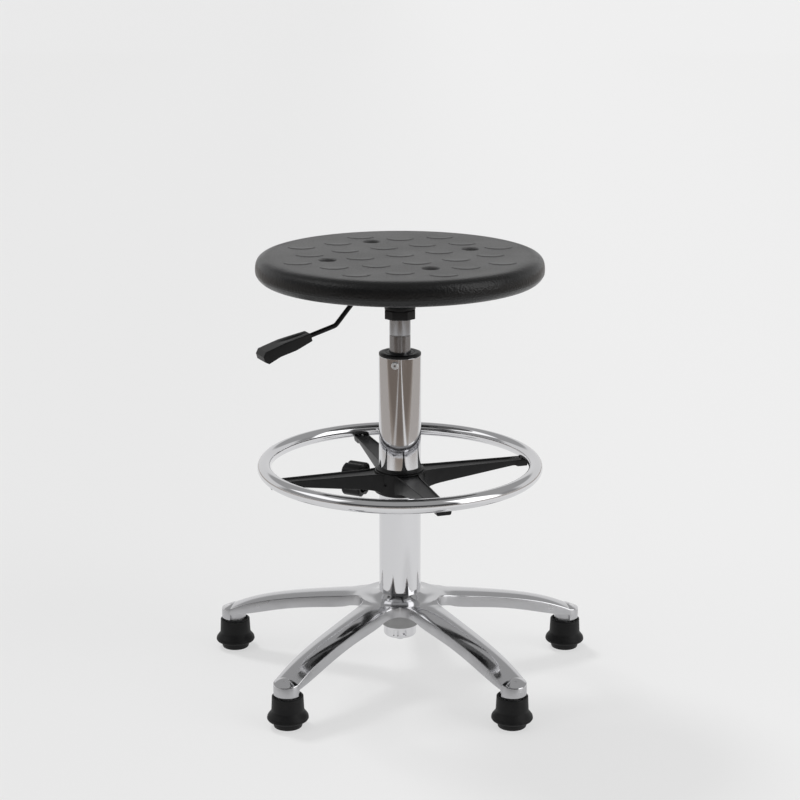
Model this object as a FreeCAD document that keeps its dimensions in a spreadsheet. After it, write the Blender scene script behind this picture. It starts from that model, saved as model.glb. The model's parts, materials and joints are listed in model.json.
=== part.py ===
import FreeCAD, Part
import math
import os
import Sketcher
from types import SimpleNamespace
from FreeCAD import Placement, Rotation, Vector

# A height-adjustable drafting stool: a round moulded seat on a gas lift, a foot ring that
# clamps to the column, and a five-legged cast base on rubber feet.
# The origin is on the column's axis at floor level, and one leg points along +Y.

driving = {
    # seat: a foam pad moulded around a stiff board
    "seat_top_height": 548.5,
    "seat_diameter": 360.0,
    "seat_thickness": 30.7,
    "seat_rim_width": 18.0,
    "seat_rim_drop": 18.6,
    "seat_under_width": 11.0,
    "well_circle": 192.0,
    "well_count": 4.0,
    "well_turn": 22.5,
    "well_bore": 20.0,
    "well_mouth": 24.0,
    "insert_diameter": 300.0,
    "insert_thickness": 9.0,
    "insert_cover": 4.0,
    # fasteners of the seat
    "seat_screw_diameter": 6.0,
    "seat_screw_head": 12.0,
    "seat_screw_head_height": 4.0,
    "seat_screw_length": 25.0,
    "seat_screw_clearance": 0.3,
    "washer_diameter": 18.0,
    "washer_thickness": 1.5,
    "weld_nut_width": 10.0,
    "weld_nut_height": 5.0,
    # seat mechanism: a pressed plate with a round pan and a taper socket
    "plate_side": 158.0,
    "plate_corner": 15.0,
    "plate_thickness": 3.0,
    "pan_diameter": 84.0,
    "pan_wall": 3.0,
    "pan_depth": 24.8,
    "socket_flare_height": 9.5,
    "socket_flare_diameter": 56.0,
    "socket_neck_diameter": 34.0,
    "socket_top_stand": 4.5,
    "collar_diameter": 39.0,
    "collar_across_flats": 38.0,
    "collar_corner": 9.5,
    "collar_flat_height": 11.0,
    "collar_height": 15.5,
    "collar_lap": 13.0,
    # gas lift
    "stem_diameter": 26.7,
    "stem_wall": 1.8,
    "stem_length": 269.0,
    "stem_groove_drop": 21.0,
    "stem_groove_width": 1.6,
    "stem_groove_depth": 0.6,
    "taper_length": 27.0,
    "taper_small": 25.0,
    "taper_fit": 0.02,
    "valve_length": 20.0,
    "button_diameter": 8.0,
    "button_length": 24.0,
    "button_stand": 6.0,
    "rod_diameter": 10.0,
    "rod_guide_length": 20.0,
    "piston_length": 12.0,
    "seal_depth": 2.0,
    "piston_level": 385.0,
    "rod_shoulder_diameter": 17.0,
    "rod_shoulder_height": 5.0,
    "rod_tail": 6.0,
    "running_clearance": 0.08,
    "slip_clearance": 0.3,
    # how far a cutting shape reaches past the faces it cuts
    "cut_margin": 1.0,
    "hollow_margin": 6.0,
    # thrust bearing under the rod
    "bearing_outer": 30.0,
    "bearing_washer": 1.6,
    "ball_diameter": 4.0,
    "ball_circle": 22.0,
    "ball_count": 12.0,
    "cage_thickness": 1.6,
    "clip_diameter": 18.0,
    "clip_thickness": 1.2,
    "clip_groove_depth": 1.0,
    # column
    "column_diameter": 53.5,
    "column_wall": 2.0,
    "column_top_height": 420.5,
    "column_end_large": 46.0,
    "column_end_small": 42.5,
    "column_end_low": 46.0,
    "column_end_round": 4.0,
    "column_floor": 3.5,
    "bush_length": 80.0,
    "bush_flange_diameter": 53.2,
    "bush_flange_height": 4.0,
    "bush_ring_groove": 38.0,
    "guide_screw_height": 412.5,
    "guide_screw_turn": 257.0,
    "guide_screw_diameter": 5.0,
    "guide_screw_head": 9.5,
    "guide_screw_stand": 2.4,
    "guide_screw_hex": 3.2,
    "guide_screw_socket": 3.0,
    "screw_room_skin": 2.0,
    "screw_end_gap": 2.4,
    # foot ring
    "ring_height": 275.7,
    "ring_circle": 346.0,
    "ring_tube": 17.8,
    "ring_wall": 1.5,
    "hub_diameter": 65.0,
    "hub_low_height": 241.5,
    "hub_high_height": 270.5,
    "liner_wall": 2.5,
    "liner_flange_diameter": 61.5,
    "liner_flange_height": 1.6,
    "liner_cone_height": 3.2,
    "liner_tail": 1.5,
    "spoke_count": 4.0,
    "spoke_turn": 18.0,
    "spoke_top_drop": 0.5,
    "spoke_root_width": 28.0,
    "spoke_tip_width": 19.0,
    "spoke_root_depth": 22.0,
    "spoke_tip_depth": 6.0,
    "spoke_rib_height": 1.2,
    "spoke_rib_width": 2.0,
    "saddle_width": 22.0,
    "saddle_reach": 12.0,
    "saddle_low_height": 261.0,
    "saddle_end_inset": 2.0,
    "saddle_clearance": 0.1,
    "ring_screw_inset": 6.0,
    "ring_screw_diameter": 4.0,
    "ring_screw_head": 8.0,
    "ring_screw_head_height": 3.0,
    "ring_screw_length": 10.0,
    # clamp of the foot ring
    "hub_dimple_diameter": 5.0,
    "hub_dimple_depth": 1.2,
    "hub_dimple_height": 257.0,
    "hub_dimple_first": 235.0,
    "hub_dimple_second": 266.0,
    "clamp_turn": 153.0,
    "clamp_height": 248.5,
    "clamp_boss_diameter": 18.0,
    "clamp_boss_reach": 44.0,
    "clamp_screw_diameter": 8.0,
    "clamp_insert_diameter": 12.0,
    "clamp_insert_length": 10.0,
    "clamp_pad_diameter": 10.0,
    "clamp_pad_thickness": 2.4,
    "clamp_gap": 0.1,
    "knob_diameter": 43.0,
    "knob_lobe_count": 6.0,
    "knob_flute_diameter": 14.0,
    "knob_flute_depth": 3.5,
    "knob_thickness": 20.0,
    "knob_near": 54.0,
    "knob_neck_diameter": 20.0,
    "knob_neck_length": 5.0,
    "knob_chamfer": 3.0,
    "knob_cap_diameter": 16.0,
    "knob_cap_depth": 3.0,
    # release lever
    "lever_turn": 206.0,
    "rod_wire": 6.0,
    "finger_end": 2.5,
    "finger_gap": 0.6,
    "first_bend_reach": 50.0,
    "second_bend_reach": 88.5,
    "lever_bend_radius": 9.0,
    "steep_angle": 48.4,
    "shallow_angle": 15.5,
    "handle_start_reach": 121.0,
    "handle_length": 69.0,
    "handle_width": 25.0,
    "handle_root_width": 16.0,
    "handle_root_depth": 9.0,
    "handle_tip_depth": 17.0,
    "handle_socket": 34.0,
    "pivot_reach": 26.0,
    "pivot_drop": 7.1,
    "pivot_pin_diameter": 4.0,
    "pivot_block_length": 9.0,
    "pivot_block_width": 12.0,
    "crown_share": 1.05,
    "bracket_thickness": 2.0,
    "bracket_gap": 0.4,
    "lever_slot_width": 14.0,
    # cast base
    "leg_count": 5.0,
    "leg_first": 90.0,
    "foot_circle": 465.0,
    "base_hub_height": 107.0,
    "base_hub_collar": 59.0,
    "base_web_diameter": 124.0,
    "base_web_height": 101.5,
    "base_web_low": 88.0,
    "base_boss_diameter": 48.0,
    "base_boss_low": 61.0,
    "pocket_diameter": 26.0,
    "pocket_floor_circle": 120.0,
    "leg_wall": 4.0,
    "leg_roof": 5.0,
    "leg_tip_diameter": 34.6,
    "leg_tip_low": 42.4,
    "leg_tip_crease": 58.0,
    "leg_tip_crown": 6.0,
    "foot_pin_diameter": 11.0,
    "foot_pin_depth": 17.0,
    "foot_pin_clearance": 0.1,
    # rubber feet
    "foot_rim_diameter": 38.5,
    "foot_rim_height": 40.0,
    "foot_cup_diameter": 34.0,
    "cup_draft": 1.0,
    "foot_cup_depth": 4.0,
    "foot_waist_diameter": 40.0,
    "foot_waist_height": 20.0,
    "foot_flare_diameter": 51.0,
    "foot_flare_high": 13.0,
    "foot_flare_low": 9.5,
    "foot_step_diameter": 37.0,
    "foot_step_height": 5.0,
    "foot_sole_diameter": 34.0,
    "pin_head_diameter": 24.0,
    "pin_head_thickness": 3.0,
    "pin_head_height": 12.0,
    "grip_ring_width": 3.0,
    "grip_ring_drop": 5.0,
    "grip_ring_depth": 1.0,
}

# one leg's cross-sections: distance from the axis, roof height, crease height,
# underside height and half width
leg_stations = [
    ("leg_a", 34.0, 104.0, 102.0, 86.0, 24.0),
    ("leg_b", 62.0, 100.5, 98.0, 84.0, 21.5),
    ("leg_c", 97.0, 96.0, 93.2, 78.0, 19.2),
    ("leg_d", 130.0, 90.6, 87.6, 73.0, 18.4),
    ("leg_e", 165.0, 84.0, 80.8, 66.0, 17.9),
    ("leg_f", 199.0, 75.6, 71.6, 57.0, 17.5),
]
for station, reach, roof, crease, low, half in leg_stations:
    driving[station + "_reach"] = reach
    driving[station + "_roof"] = roof
    driving[station + "_crease"] = crease
    driving[station + "_low"] = low
    driving[station + "_half_width"] = half


class Size:
    """A number together with the spreadsheet expression that it comes from."""

    def __init__(self, number, text):
        self.number = float(number)
        self.text = text

    def __add__(self, other):
        other = sized(other)
        return Size(self.number + other.number, f"({self.text} + {other.text})")

    def __sub__(self, other):
        other = sized(other)
        return Size(self.number - other.number, f"({self.text} - {other.text})")

    def __mul__(self, other):
        other = sized(other)
        return Size(self.number * other.number, f"({self.text} * {other.text})")

    def __truediv__(self, other):
        other = sized(other)
        return Size(self.number / other.number, f"({self.text} / {other.text})")

    def __rtruediv__(self, other):
        return sized(other) / self

    def __rsub__(self, other):
        return sized(other) - self

    def __neg__(self):
        return Size(-self.number, f"(0 - {self.text})")

    __radd__ = __add__
    __rmul__ = __mul__


def sized(value):
    return value if isinstance(value, Size) else Size(value, f"({float(value)})")


def sine(angle):
    return Size(math.sin(math.radians(angle.number)), f"sin({angle.text} * 1 deg)")


def cosine(angle):
    return Size(math.cos(math.radians(angle.number)), f"cos({angle.text} * 1 deg)")


def tangent(angle):
    return Size(math.tan(math.radians(angle.number)), f"tan({angle.text} * 1 deg)")


def arc_radius(half_chord, rise):
    """Radius of the arc over a chord, from half the chord and the rise."""
    return (half_chord * half_chord + rise * rise) / (rise * 2)


doc = FreeCAD.newDocument("drafting_stool")
sheet = doc.addObject("Spreadsheet::Sheet", "Sizes")
for row, (name, number) in enumerate(driving.items(), start=1):
    sheet.set(f"A{row}", name)
    sheet.set(f"B{row}", str(number))
    sheet.setAlias(f"B{row}", name)
doc.recompute()
dim = SimpleNamespace(**{name: Size(number, f"Sizes.{name}") for name, number in driving.items()})
zero = sized(0)
subparts = []


def bind(item, name, value):
    item.setExpression(name, sized(value).text)


def new_body(label, kept=True):
    body = doc.addObject("PartDesign::Body", label)
    body.Label = label
    if kept:
        subparts.append(body)
    return body


def arc_centre(start, end, radius):
    """Centre of the arc from start to end that turns left for a positive radius."""
    chord = end - start
    across = Vector(-chord.y, chord.x, 0)
    across.normalize()
    height = math.sqrt(max(radius * radius - chord.Length**2 / 4, 0))
    return (start + end) * 0.5 + across * math.copysign(height, radius)


def new_sketch(body, name, plane, shift=(zero, zero, zero)):
    """An empty sketch on one of the body's own planes, moved by shift in that plane's frame."""
    sketch = body.newObject("Sketcher::SketchObject", name)
    support = next(item for item in body.Origin.OriginFeatures if item.Role == plane)
    sketch.AttachmentSupport = [(support, "")]
    sketch.MapMode = "FlatFace"
    shift = [sized(value) for value in shift]
    sketch.AttachmentOffset = Placement(Vector(*[value.number for value in shift]), Rotation())
    for axis, value in zip("xyz", shift):
        if value.text != zero.text:
            bind(sketch, f"AttachmentOffset.Base.{axis}", value)
    return sketch


def limit(sketch, kind, where, value):
    """Adds one dimension and ties it to the spreadsheet."""
    index = sketch.addConstraint(Sketcher.Constraint(kind, *where, value.number))
    bind(sketch, f"Constraints[{index}]", value)


def outline(sketch, points):
    """A closed outline: each point is (x, y), with a radius where an arc leaves it."""
    places = [(sized(point[0]), sized(point[1])) for point in points]
    flat = [Vector(x.number, y.number, 0) for x, y in places]
    ends = []
    for index, point in enumerate(points):
        start, end = flat[index], flat[(index + 1) % len(flat)]
        if len(point) == 2:
            edge = sketch.addGeometry(Part.LineSegment(start, end), False)
            ends.append((edge, 1, 2))
            continue
        radius = sized(point[2])
        centre = arc_centre(start, end, radius.number)
        first, last = (start, end) if radius.number > 0 else (end, start)
        from_angle = math.atan2(first.y - centre.y, first.x - centre.x)
        to_angle = math.atan2(last.y - centre.y, last.x - centre.x)
        circle = Part.Circle(centre, Vector(0, 0, 1), abs(radius.number))
        edge = sketch.addGeometry(Part.ArcOfCircle(circle, from_angle, to_angle), False)
        ends.append((edge, 1, 2) if radius.number > 0 else (edge, 2, 1))
    for index, (edge, start, end) in enumerate(ends):
        following = ends[(index + 1) % len(ends)]
        sketch.addConstraint(Sketcher.Constraint("Coincident", edge, end, following[0], following[1]))
        x, y = places[index]
        limit(sketch, "DistanceX", (-1, 1, edge, start), x)
        limit(sketch, "DistanceY", (-1, 1, edge, start), y)
        if len(points[index]) == 3:
            radius = sized(points[index][2])
            limit(sketch, "Radius", (edge,), radius if radius.number > 0 else -radius)
    return sketch


def circle(sketch, x, y, diameter):
    x, y, diameter = sized(x), sized(y), sized(diameter)
    centre = Vector(x.number, y.number, 0)
    edge = sketch.addGeometry(Part.Circle(centre, Vector(0, 0, 1), diameter.number / 2), False)
    limit(sketch, "DistanceX", (-1, 1, edge, 3), x)
    limit(sketch, "DistanceY", (-1, 1, edge, 3), y)
    limit(sketch, "Diameter", (edge,), diameter)
    return sketch


def box_points(left, right, low, high):
    return [(left, low), (right, low), (right, high), (left, high)]


def turned(body, name, points, kind="Revolution", axis="V_Axis", shift=(zero, zero, zero), angle=360.0):
    """Turns an outline in the XZ plane about one of its sketch axes; kind Groove removes it."""
    sketch = outline(new_sketch(body, name + "_outline", "XZ_Plane", shift), points)
    feature = body.newObject("PartDesign::" + kind, name)
    feature.Profile = sketch
    feature.ReferenceAxis = (sketch, [axis])
    feature.Angle = angle
    sketch.Visibility = False
    return feature


def swept_straight(body, name, sketch, length, kind="Pad", symmetric=False, reverse=False):
    """Pads a sketch, or cuts a pocket with it."""
    feature = body.newObject("PartDesign::" + kind, name)
    feature.Profile = sketch
    feature.Reversed = reverse
    feature.SideType = "Symmetric" if symmetric else "One side"
    bind(feature, "Length", length)
    return feature


def around(body, name, features, count, angle=360.0):
    """Repeats features about the body's Z axis."""
    doc.recompute()
    pattern = body.newObject("PartDesign::PolarPattern", name)
    pattern.Originals = features
    z_axis = next(item for item in body.Origin.OriginFeatures if item.Role == "Z_Axis")
    pattern.Axis = (z_axis, [""])
    pattern.Angle = angle
    bind(pattern, "Occurrences", count)
    body.Tip = pattern
    return pattern


def turn_about_z(body, angle):
    """Places a body turned about the column's axis."""
    body.Placement = Placement(Vector(), Rotation(Vector(0, 0, 1), angle.number))
    bind(body, "Placement.Rotation.Angle", angle)


def tube(label, inner, outer, low, high, kept=True):
    """A ring or washer about the column's axis, from its diameters and its two levels."""
    body = new_body(label, kept)
    turned(body, label + "_turned", box_points(inner / 2, outer / 2, low, high))
    return body


def grouped(label, pieces):
    """Several identical separate solids in one node."""
    group = doc.addObject("Part::Compound", label)
    group.Label = label
    group.Links = pieces
    subparts.append(group)
    return group


def set_around(label, make, count, first, circle_diameter):
    """Makes copies of one vertical piece evenly round a circle, as one group."""
    pieces = []
    for index in range(int(count.number)):
        piece = make(f"{label}_{index + 1}")
        angle = first + (360 / count) * index
        place_on_circle(piece, circle_diameter, angle)
        pieces.append(piece)
    return grouped(label, pieces)


def place_on_circle(piece, circle_diameter, angle):
    x = circle_diameter / 2 * cosine(angle)
    y = circle_diameter / 2 * sine(angle)
    piece.Placement = Placement(Vector(x.number, y.number, 0), Rotation())
    bind(piece, "Placement.Base.x", x)
    bind(piece, "Placement.Base.y", y)


# levels that several pieces share
seat_bottom = dim.seat_top_height - dim.seat_thickness
insert_low = seat_bottom + dim.insert_cover
insert_high = insert_low + dim.insert_thickness
plate_low = seat_bottom - dim.plate_thickness
pan_low = seat_bottom - dim.pan_depth
pan_floor = pan_low + dim.pan_wall
collar_high = pan_low - dim.socket_flare_height
collar_low = collar_high - dim.collar_height
socket_top = pan_floor + dim.socket_top_stand
stem_top = socket_top
taper_low = stem_top - dim.taper_length
stem_low = taper_low - dim.stem_length
button_top = stem_top + dim.button_stand
finger_level = button_top + dim.finger_gap + dim.rod_wire / 2
column_inner = dim.column_diameter - dim.column_wall * 2
end_floor = dim.column_end_low + dim.column_floor
bearing_low = end_floor
cage_low = bearing_low + dim.bearing_washer
cage_high = cage_low + dim.ball_diameter
bearing_high = cage_high + dim.bearing_washer
ring_screw_circle = dim.ring_circle - dim.ring_screw_inset * 2
hub_bore = dim.column_diameter + dim.liner_wall * 2 + dim.running_clearance * 4
foot_reach = dim.foot_circle / 2
margin = dim.cut_margin


def seat_pad():
    body = new_body("seat_pad")
    edge = dim.seat_diameter / 2
    rim = dim.seat_top_height - dim.seat_rim_drop
    under_rise = dim.seat_thickness - dim.seat_rim_drop
    turned(body, "seat_pad_turned", [
        (0, seat_bottom),
        (edge - dim.seat_under_width, seat_bottom, arc_radius(dim.seat_under_width, under_rise)),
        (edge, rim, arc_radius(dim.seat_rim_width, dim.seat_rim_drop)),
        (edge - dim.seat_rim_width, dim.seat_top_height),
        (0, dim.seat_top_height),
    ])
    insert_room = box_points(0, dim.insert_diameter / 2, insert_low, insert_high)
    turned(body, "seat_pad_insert_room", insert_room, "Groove")
    lip = (dim.well_mouth - dim.well_bore) / 2
    well = turned(body, "seat_well", [
        (0, insert_high - dim.insert_thickness / 2),
        (dim.well_bore / 2, insert_high - dim.insert_thickness / 2),
        (dim.well_bore / 2, dim.seat_top_height - lip, -lip),
        (dim.well_mouth / 2, dim.seat_top_height),
        (dim.well_mouth / 2, dim.seat_top_height + margin),
        (0, dim.seat_top_height + margin),
    ], "Groove", shift=(dim.well_circle / 2, 0, 0))
    hole_radius = dim.seat_screw_diameter / 2 + dim.seat_screw_clearance
    hole = turned(body, "seat_screw_hole", box_points(0, hole_radius, seat_bottom - margin, insert_low + margin),
                  "Groove", shift=(dim.well_circle / 2, 0, 0))
    around(body, "seat_wells", [well, hole], dim.well_count)
    turn_about_z(body, dim.well_turn)


def seat_insert():
    body = tube("seat_insert", zero, dim.insert_diameter, insert_low, insert_high)
    hole_radius = dim.seat_screw_diameter / 2 + dim.seat_screw_clearance
    hole = turned(body, "insert_hole", box_points(0, hole_radius, insert_low - margin, insert_high + margin),
                  "Groove", shift=(dim.well_circle / 2, 0, 0))
    around(body, "insert_holes", [hole], dim.well_count)
    turn_about_z(body, dim.well_turn)


def seat_fasteners():
    head_low = insert_high + dim.washer_thickness

    def screw(name):
        body = new_body(name, kept=False)
        radius = dim.seat_screw_diameter / 2
        head = dim.seat_screw_head / 2
        turned(body, name + "_turned", [
            (0, head_low - dim.seat_screw_length),
            (radius, head_low - dim.seat_screw_length),
            (radius, head_low),
            (head, head_low),
            (head, head_low + dim.seat_screw_head_height / 2, arc_radius(head, dim.seat_screw_head_height)),
            (head / 2, head_low + dim.seat_screw_head_height),
            (0, head_low + dim.seat_screw_head_height),
        ])
        return body

    def washer(name):
        inner = dim.seat_screw_diameter + dim.seat_screw_clearance * 2
        return tube(name, inner, dim.washer_diameter, insert_high, head_low, kept=False)

    def nut(name):
        body = new_body(name, kept=False)
        sketch = new_sketch(body, name + "_outline", "XY_Plane", (0, 0, plate_low - dim.weld_nut_height))
        across = dim.weld_nut_width / 2
        corner = across / cosine(sized(30))
        outline(sketch, [
            (corner, 0), (corner / 2, across), (-corner / 2, across),
            (-corner, 0), (-corner / 2, -across), (corner / 2, -across),
        ])
        circle(sketch, 0, 0, dim.seat_screw_diameter + dim.running_clearance)
        swept_straight(body, name + "_pad", sketch, dim.weld_nut_height)
        return body

    for label, make in (("seat_screws", screw), ("seat_washers", washer), ("weld_nuts", nut)):
        set_around(label, make, dim.well_count, dim.well_turn, dim.well_circle)


def mechanism_plate():
    """The pressed plate: a square flange, a round pan below it and the way out for the lever."""
    body = new_body("mechanism_plate")
    half = dim.plate_side / 2
    sketch = new_sketch(body, "flange_outline", "XY_Plane", (0, 0, plate_low))
    straight = half - dim.plate_corner
    outline(sketch, [
        (straight, -half, dim.plate_corner), (half, -straight), (half, straight, dim.plate_corner),
        (straight, half), (-straight, half, dim.plate_corner), (-half, straight),
        (-half, -straight, dim.plate_corner), (-straight, -half),
    ])
    swept_straight(body, "flange", sketch, dim.plate_thickness)
    outer = dim.pan_diameter / 2
    inner = outer - dim.pan_wall
    turned(body, "pan_opening", box_points(0, inner, plate_low - margin, seat_bottom + margin), "Groove")
    turned(body, "pan", [
        (dim.collar_diameter / 2, pan_low),
        (outer, pan_low),
        (outer, plate_low),
        (inner, plate_low),
        (inner, pan_floor),
        (dim.collar_diameter / 2, pan_floor),
    ])
    corner_reach = dim.well_circle / 2
    side = sine(sized(45)) * corner_reach
    hole_sketch = new_sketch(body, "corner_hole_outline", "XY_Plane", (0, 0, plate_low - margin))
    circle(hole_sketch, side, side, dim.seat_screw_diameter + dim.seat_screw_clearance * 2)
    hole = swept_straight(body, "corner_hole", hole_sketch, dim.plate_thickness + margin * 2, "Pocket", reverse=True)
    around(body, "corner_holes", [hole], dim.well_count)
    # the plate is turned so that its corners reach the seat's wells
    plate_turn = dim.well_turn - 45
    slot = new_sketch(body, "lever_slot_outline", "XY_Plane", (0, 0, pan_floor + margin))
    slot.AttachmentOffset = Placement(
        Vector(0, 0, (pan_floor + margin).number),
        Rotation(Vector(0, 0, 1), (dim.lever_turn - plate_turn).number))
    bind(slot, "AttachmentOffset.Rotation.Angle", dim.lever_turn - plate_turn)
    half_slot = dim.lever_slot_width / 2
    outline(slot, box_points(inner - 4, dim.first_bend_reach + dim.lever_slot_width, -half_slot, half_slot))
    swept_straight(body, "lever_slot", slot, dim.pan_depth, "Pocket", reverse=True)
    turn_about_z(body, plate_turn)


def taper_socket():
    body = new_body("taper_socket")
    large = dim.stem_diameter / 2 + dim.taper_fit
    small = dim.taper_small / 2 + dim.taper_fit
    neck_low = collar_high - dim.collar_lap
    neck_bore = large + dim.slip_clearance
    turned(body, "taper_socket_turned", [
        (neck_bore, neck_low),
        (dim.socket_neck_diameter / 2, neck_low),
        (dim.socket_neck_diameter / 2, collar_high),
        (dim.collar_diameter / 2, collar_high),
        (dim.socket_flare_diameter / 2, pan_low),
        (dim.collar_diameter / 2, pan_low),
        (dim.collar_diameter / 2, socket_top),
        (small, socket_top),
        (large, taper_low),
        (neck_bore, taper_low),
    ])


def stem_collar():
    """The moulded shroud round the socket: a square with cut corners below, round above."""
    body = new_body("stem_collar")
    bore = dim.stem_diameter / 2 + dim.slip_clearance
    neck = dim.socket_neck_diameter / 2
    half = dim.collar_across_flats / 2
    near = half - dim.collar_corner
    plan = new_sketch(body, "collar_plan", "XY_Plane", (0, 0, collar_low))
    outline(plan, [
        (half, -near), (half, near), (near, half), (-near, half),
        (-half, near), (-half, -near), (-near, -half), (near, -half),
    ])
    swept_straight(body, "collar_flats", plan, dim.collar_flat_height)
    round_low = collar_low + dim.collar_flat_height
    turned(body, "collar_round", box_points(0, dim.collar_diameter / 2, round_low, collar_high))
    lap_low = collar_high - dim.collar_lap
    turned(body, "collar_bore", [
        (0, collar_low),
        (bore, collar_low),
        (bore, lap_low),
        (neck, lap_low),
        (neck, collar_high),
        (0, collar_high),
    ], "Groove")


def gas_cylinder():
    """The stem: a closed tube with a taper at its top and a groove near it."""
    body = new_body("gas_cylinder")
    outer = dim.stem_diameter / 2
    bore = outer - dim.stem_wall
    small = dim.taper_small / 2
    groove = collar_low - dim.stem_groove_drop
    half = dim.stem_groove_width / 2
    turned(body, "gas_cylinder_turned", [
        (bore, stem_low),
        (outer, stem_low),
        (outer, groove - half),
        (outer - dim.stem_groove_depth, groove),
        (outer, groove + half),
        (outer, taper_low),
        (small, stem_top),
        (dim.button_diameter / 2 + dim.running_clearance, stem_top),
        (dim.button_diameter / 2 + dim.running_clearance, stem_top - dim.stem_wall * 2),
        (small - dim.stem_wall, stem_top - dim.stem_wall * 2),
        (bore, taper_low),
    ])


def gas_lift_inside():
    bore = dim.stem_diameter - dim.stem_wall * 2
    rod = dim.rod_diameter + dim.running_clearance * 2
    guide_high = stem_low + dim.rod_guide_length
    guide = new_body("rod_guide")
    turned(guide, "rod_guide_turned", box_points(rod / 2, bore / 2, stem_low, guide_high))
    # the valve sits in the taper's bore and holds the release button
    small_bore = dim.taper_small / 2 - dim.stem_wall - dim.slip_clearance
    button_bore = dim.button_diameter / 2 + dim.running_clearance
    high = stem_top - dim.stem_wall * 2
    valve = new_body("valve_body")
    turned(valve, "valve_body_turned", [
        (0, high - dim.valve_length - dim.stem_wall),
        (small_bore, high - dim.valve_length - dim.stem_wall),
        (small_bore, high),
        (button_bore, high),
        (button_bore, high - dim.valve_length),
        (0, high - dim.valve_length),
    ])
    button = new_body("release_button")
    top_chamfer = dim.button_diameter / 8
    radius = dim.button_diameter / 2
    low = button_top - dim.button_length + dim.button_stand
    turned(button, "release_button_turned", [
        (0, low),
        (radius, low),
        (radius, button_top - top_chamfer),
        (radius - top_chamfer, button_top),
        (0, button_top),
    ])


def piston_rod():
    body = new_body("piston_rod")
    radius = dim.rod_diameter / 2
    groove_high = dim.column_end_low - dim.slip_clearance
    groove_low = groove_high - dim.clip_thickness
    waist = radius - dim.clip_groove_depth
    shoulder = dim.rod_shoulder_diameter / 2
    turned(body, "piston_rod_turned", [
        (0, dim.column_end_low - dim.rod_tail),
        (radius, dim.column_end_low - dim.rod_tail),
        (radius, groove_low),
        (waist, groove_low),
        (waist, groove_high),
        (radius, groove_high),
        (radius, bearing_high),
        (shoulder, bearing_high),
        (shoulder, bearing_high + dim.rod_shoulder_height),
        (radius, bearing_high + dim.rod_shoulder_height),
        (radius, dim.piston_level),
        (0, dim.piston_level),
    ])
    tube("rod_clip", waist * 2, dim.clip_diameter, groove_low, groove_high)
    piston_high = dim.piston_level + dim.piston_length
    piston_radius = dim.stem_diameter / 2 - dim.stem_wall - dim.running_clearance
    seal_radius = piston_radius - dim.seal_depth
    seal_low = dim.piston_level + dim.piston_length / 3
    seal_high = piston_high - dim.piston_length / 3
    piston = new_body("piston")
    turned(piston, "piston_turned", [
        (0, dim.piston_level),
        (piston_radius, dim.piston_level),
        (piston_radius, seal_low),
        (seal_radius, seal_low),
        (seal_radius, seal_high),
        (piston_radius, seal_high),
        (piston_radius, piston_high),
        (0, piston_high),
    ])
    tube("piston_seal", seal_radius * 2, piston_radius * 2 + dim.running_clearance, seal_low, seal_high)


def thrust_bearing():
    bore = dim.rod_diameter + dim.slip_clearance * 2
    tube("thrust_washer_lower", bore, dim.bearing_outer, bearing_low, cage_low)
    tube("thrust_washer_upper", bore, dim.bearing_outer, cage_high, bearing_high)
    middle = (cage_low + cage_high) / 2
    half_cage = dim.cage_thickness / 2
    cage = tube("bearing_cage", bore, dim.bearing_outer, middle - half_cage, middle + half_cage)
    room = new_sketch(cage, "ball_room_outline", "XY_Plane", (0, 0, middle - dim.cage_thickness))
    circle(room, dim.ball_circle / 2, 0, dim.ball_diameter + dim.running_clearance * 2)
    hole = swept_straight(cage, "ball_room", room, dim.cage_thickness * 2, "Pocket", reverse=True)
    around(cage, "ball_rooms", [hole], dim.ball_count)
    balls = []
    for index in range(int(dim.ball_count.number)):
        ball = doc.addObject("Part::Sphere", f"ball_{index + 1}")
        bind(ball, "Radius", dim.ball_diameter / 2)
        place_on_circle(ball, dim.ball_circle, (360 / dim.ball_count) * index)
        ball.Placement.Base.z = middle.number
        bind(ball, "Placement.Base.z", middle)
        balls.append(ball)
    grouped("bearing_balls", balls)


def column_tube():
    """The outer tube: a plain cylinder above the base and a stepped taper inside it."""
    body = new_body("column_tube")
    outer = dim.column_diameter / 2
    wall = dim.column_wall
    seam = dim.base_hub_height
    large = dim.column_end_large / 2
    small = dim.column_end_small / 2
    low = dim.column_end_low
    round_off = dim.column_end_round
    turned(body, "column_tube_turned", [
        (dim.rod_diameter / 2 + dim.slip_clearance, low),
        (small - round_off, low, round_off),
        (small, low + round_off),
        (large, seam),
        (outer, seam),
        (outer, dim.column_top_height),
        (outer - wall, dim.column_top_height),
        (outer - wall, seam + wall),
        (large - wall, seam + wall),
        (small - wall, end_floor),
        (dim.rod_diameter / 2 + dim.slip_clearance, end_floor),
    ])
    hole_radius = dim.guide_screw_diameter / 2 + dim.running_clearance
    turned(body, "guide_screw_room", box_points(outer - wall * 2, outer + wall, 0, hole_radius), "Groove",
           "H_Axis", (0, dim.guide_screw_height, 0))
    turn_about_z(body, dim.guide_screw_turn)


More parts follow.
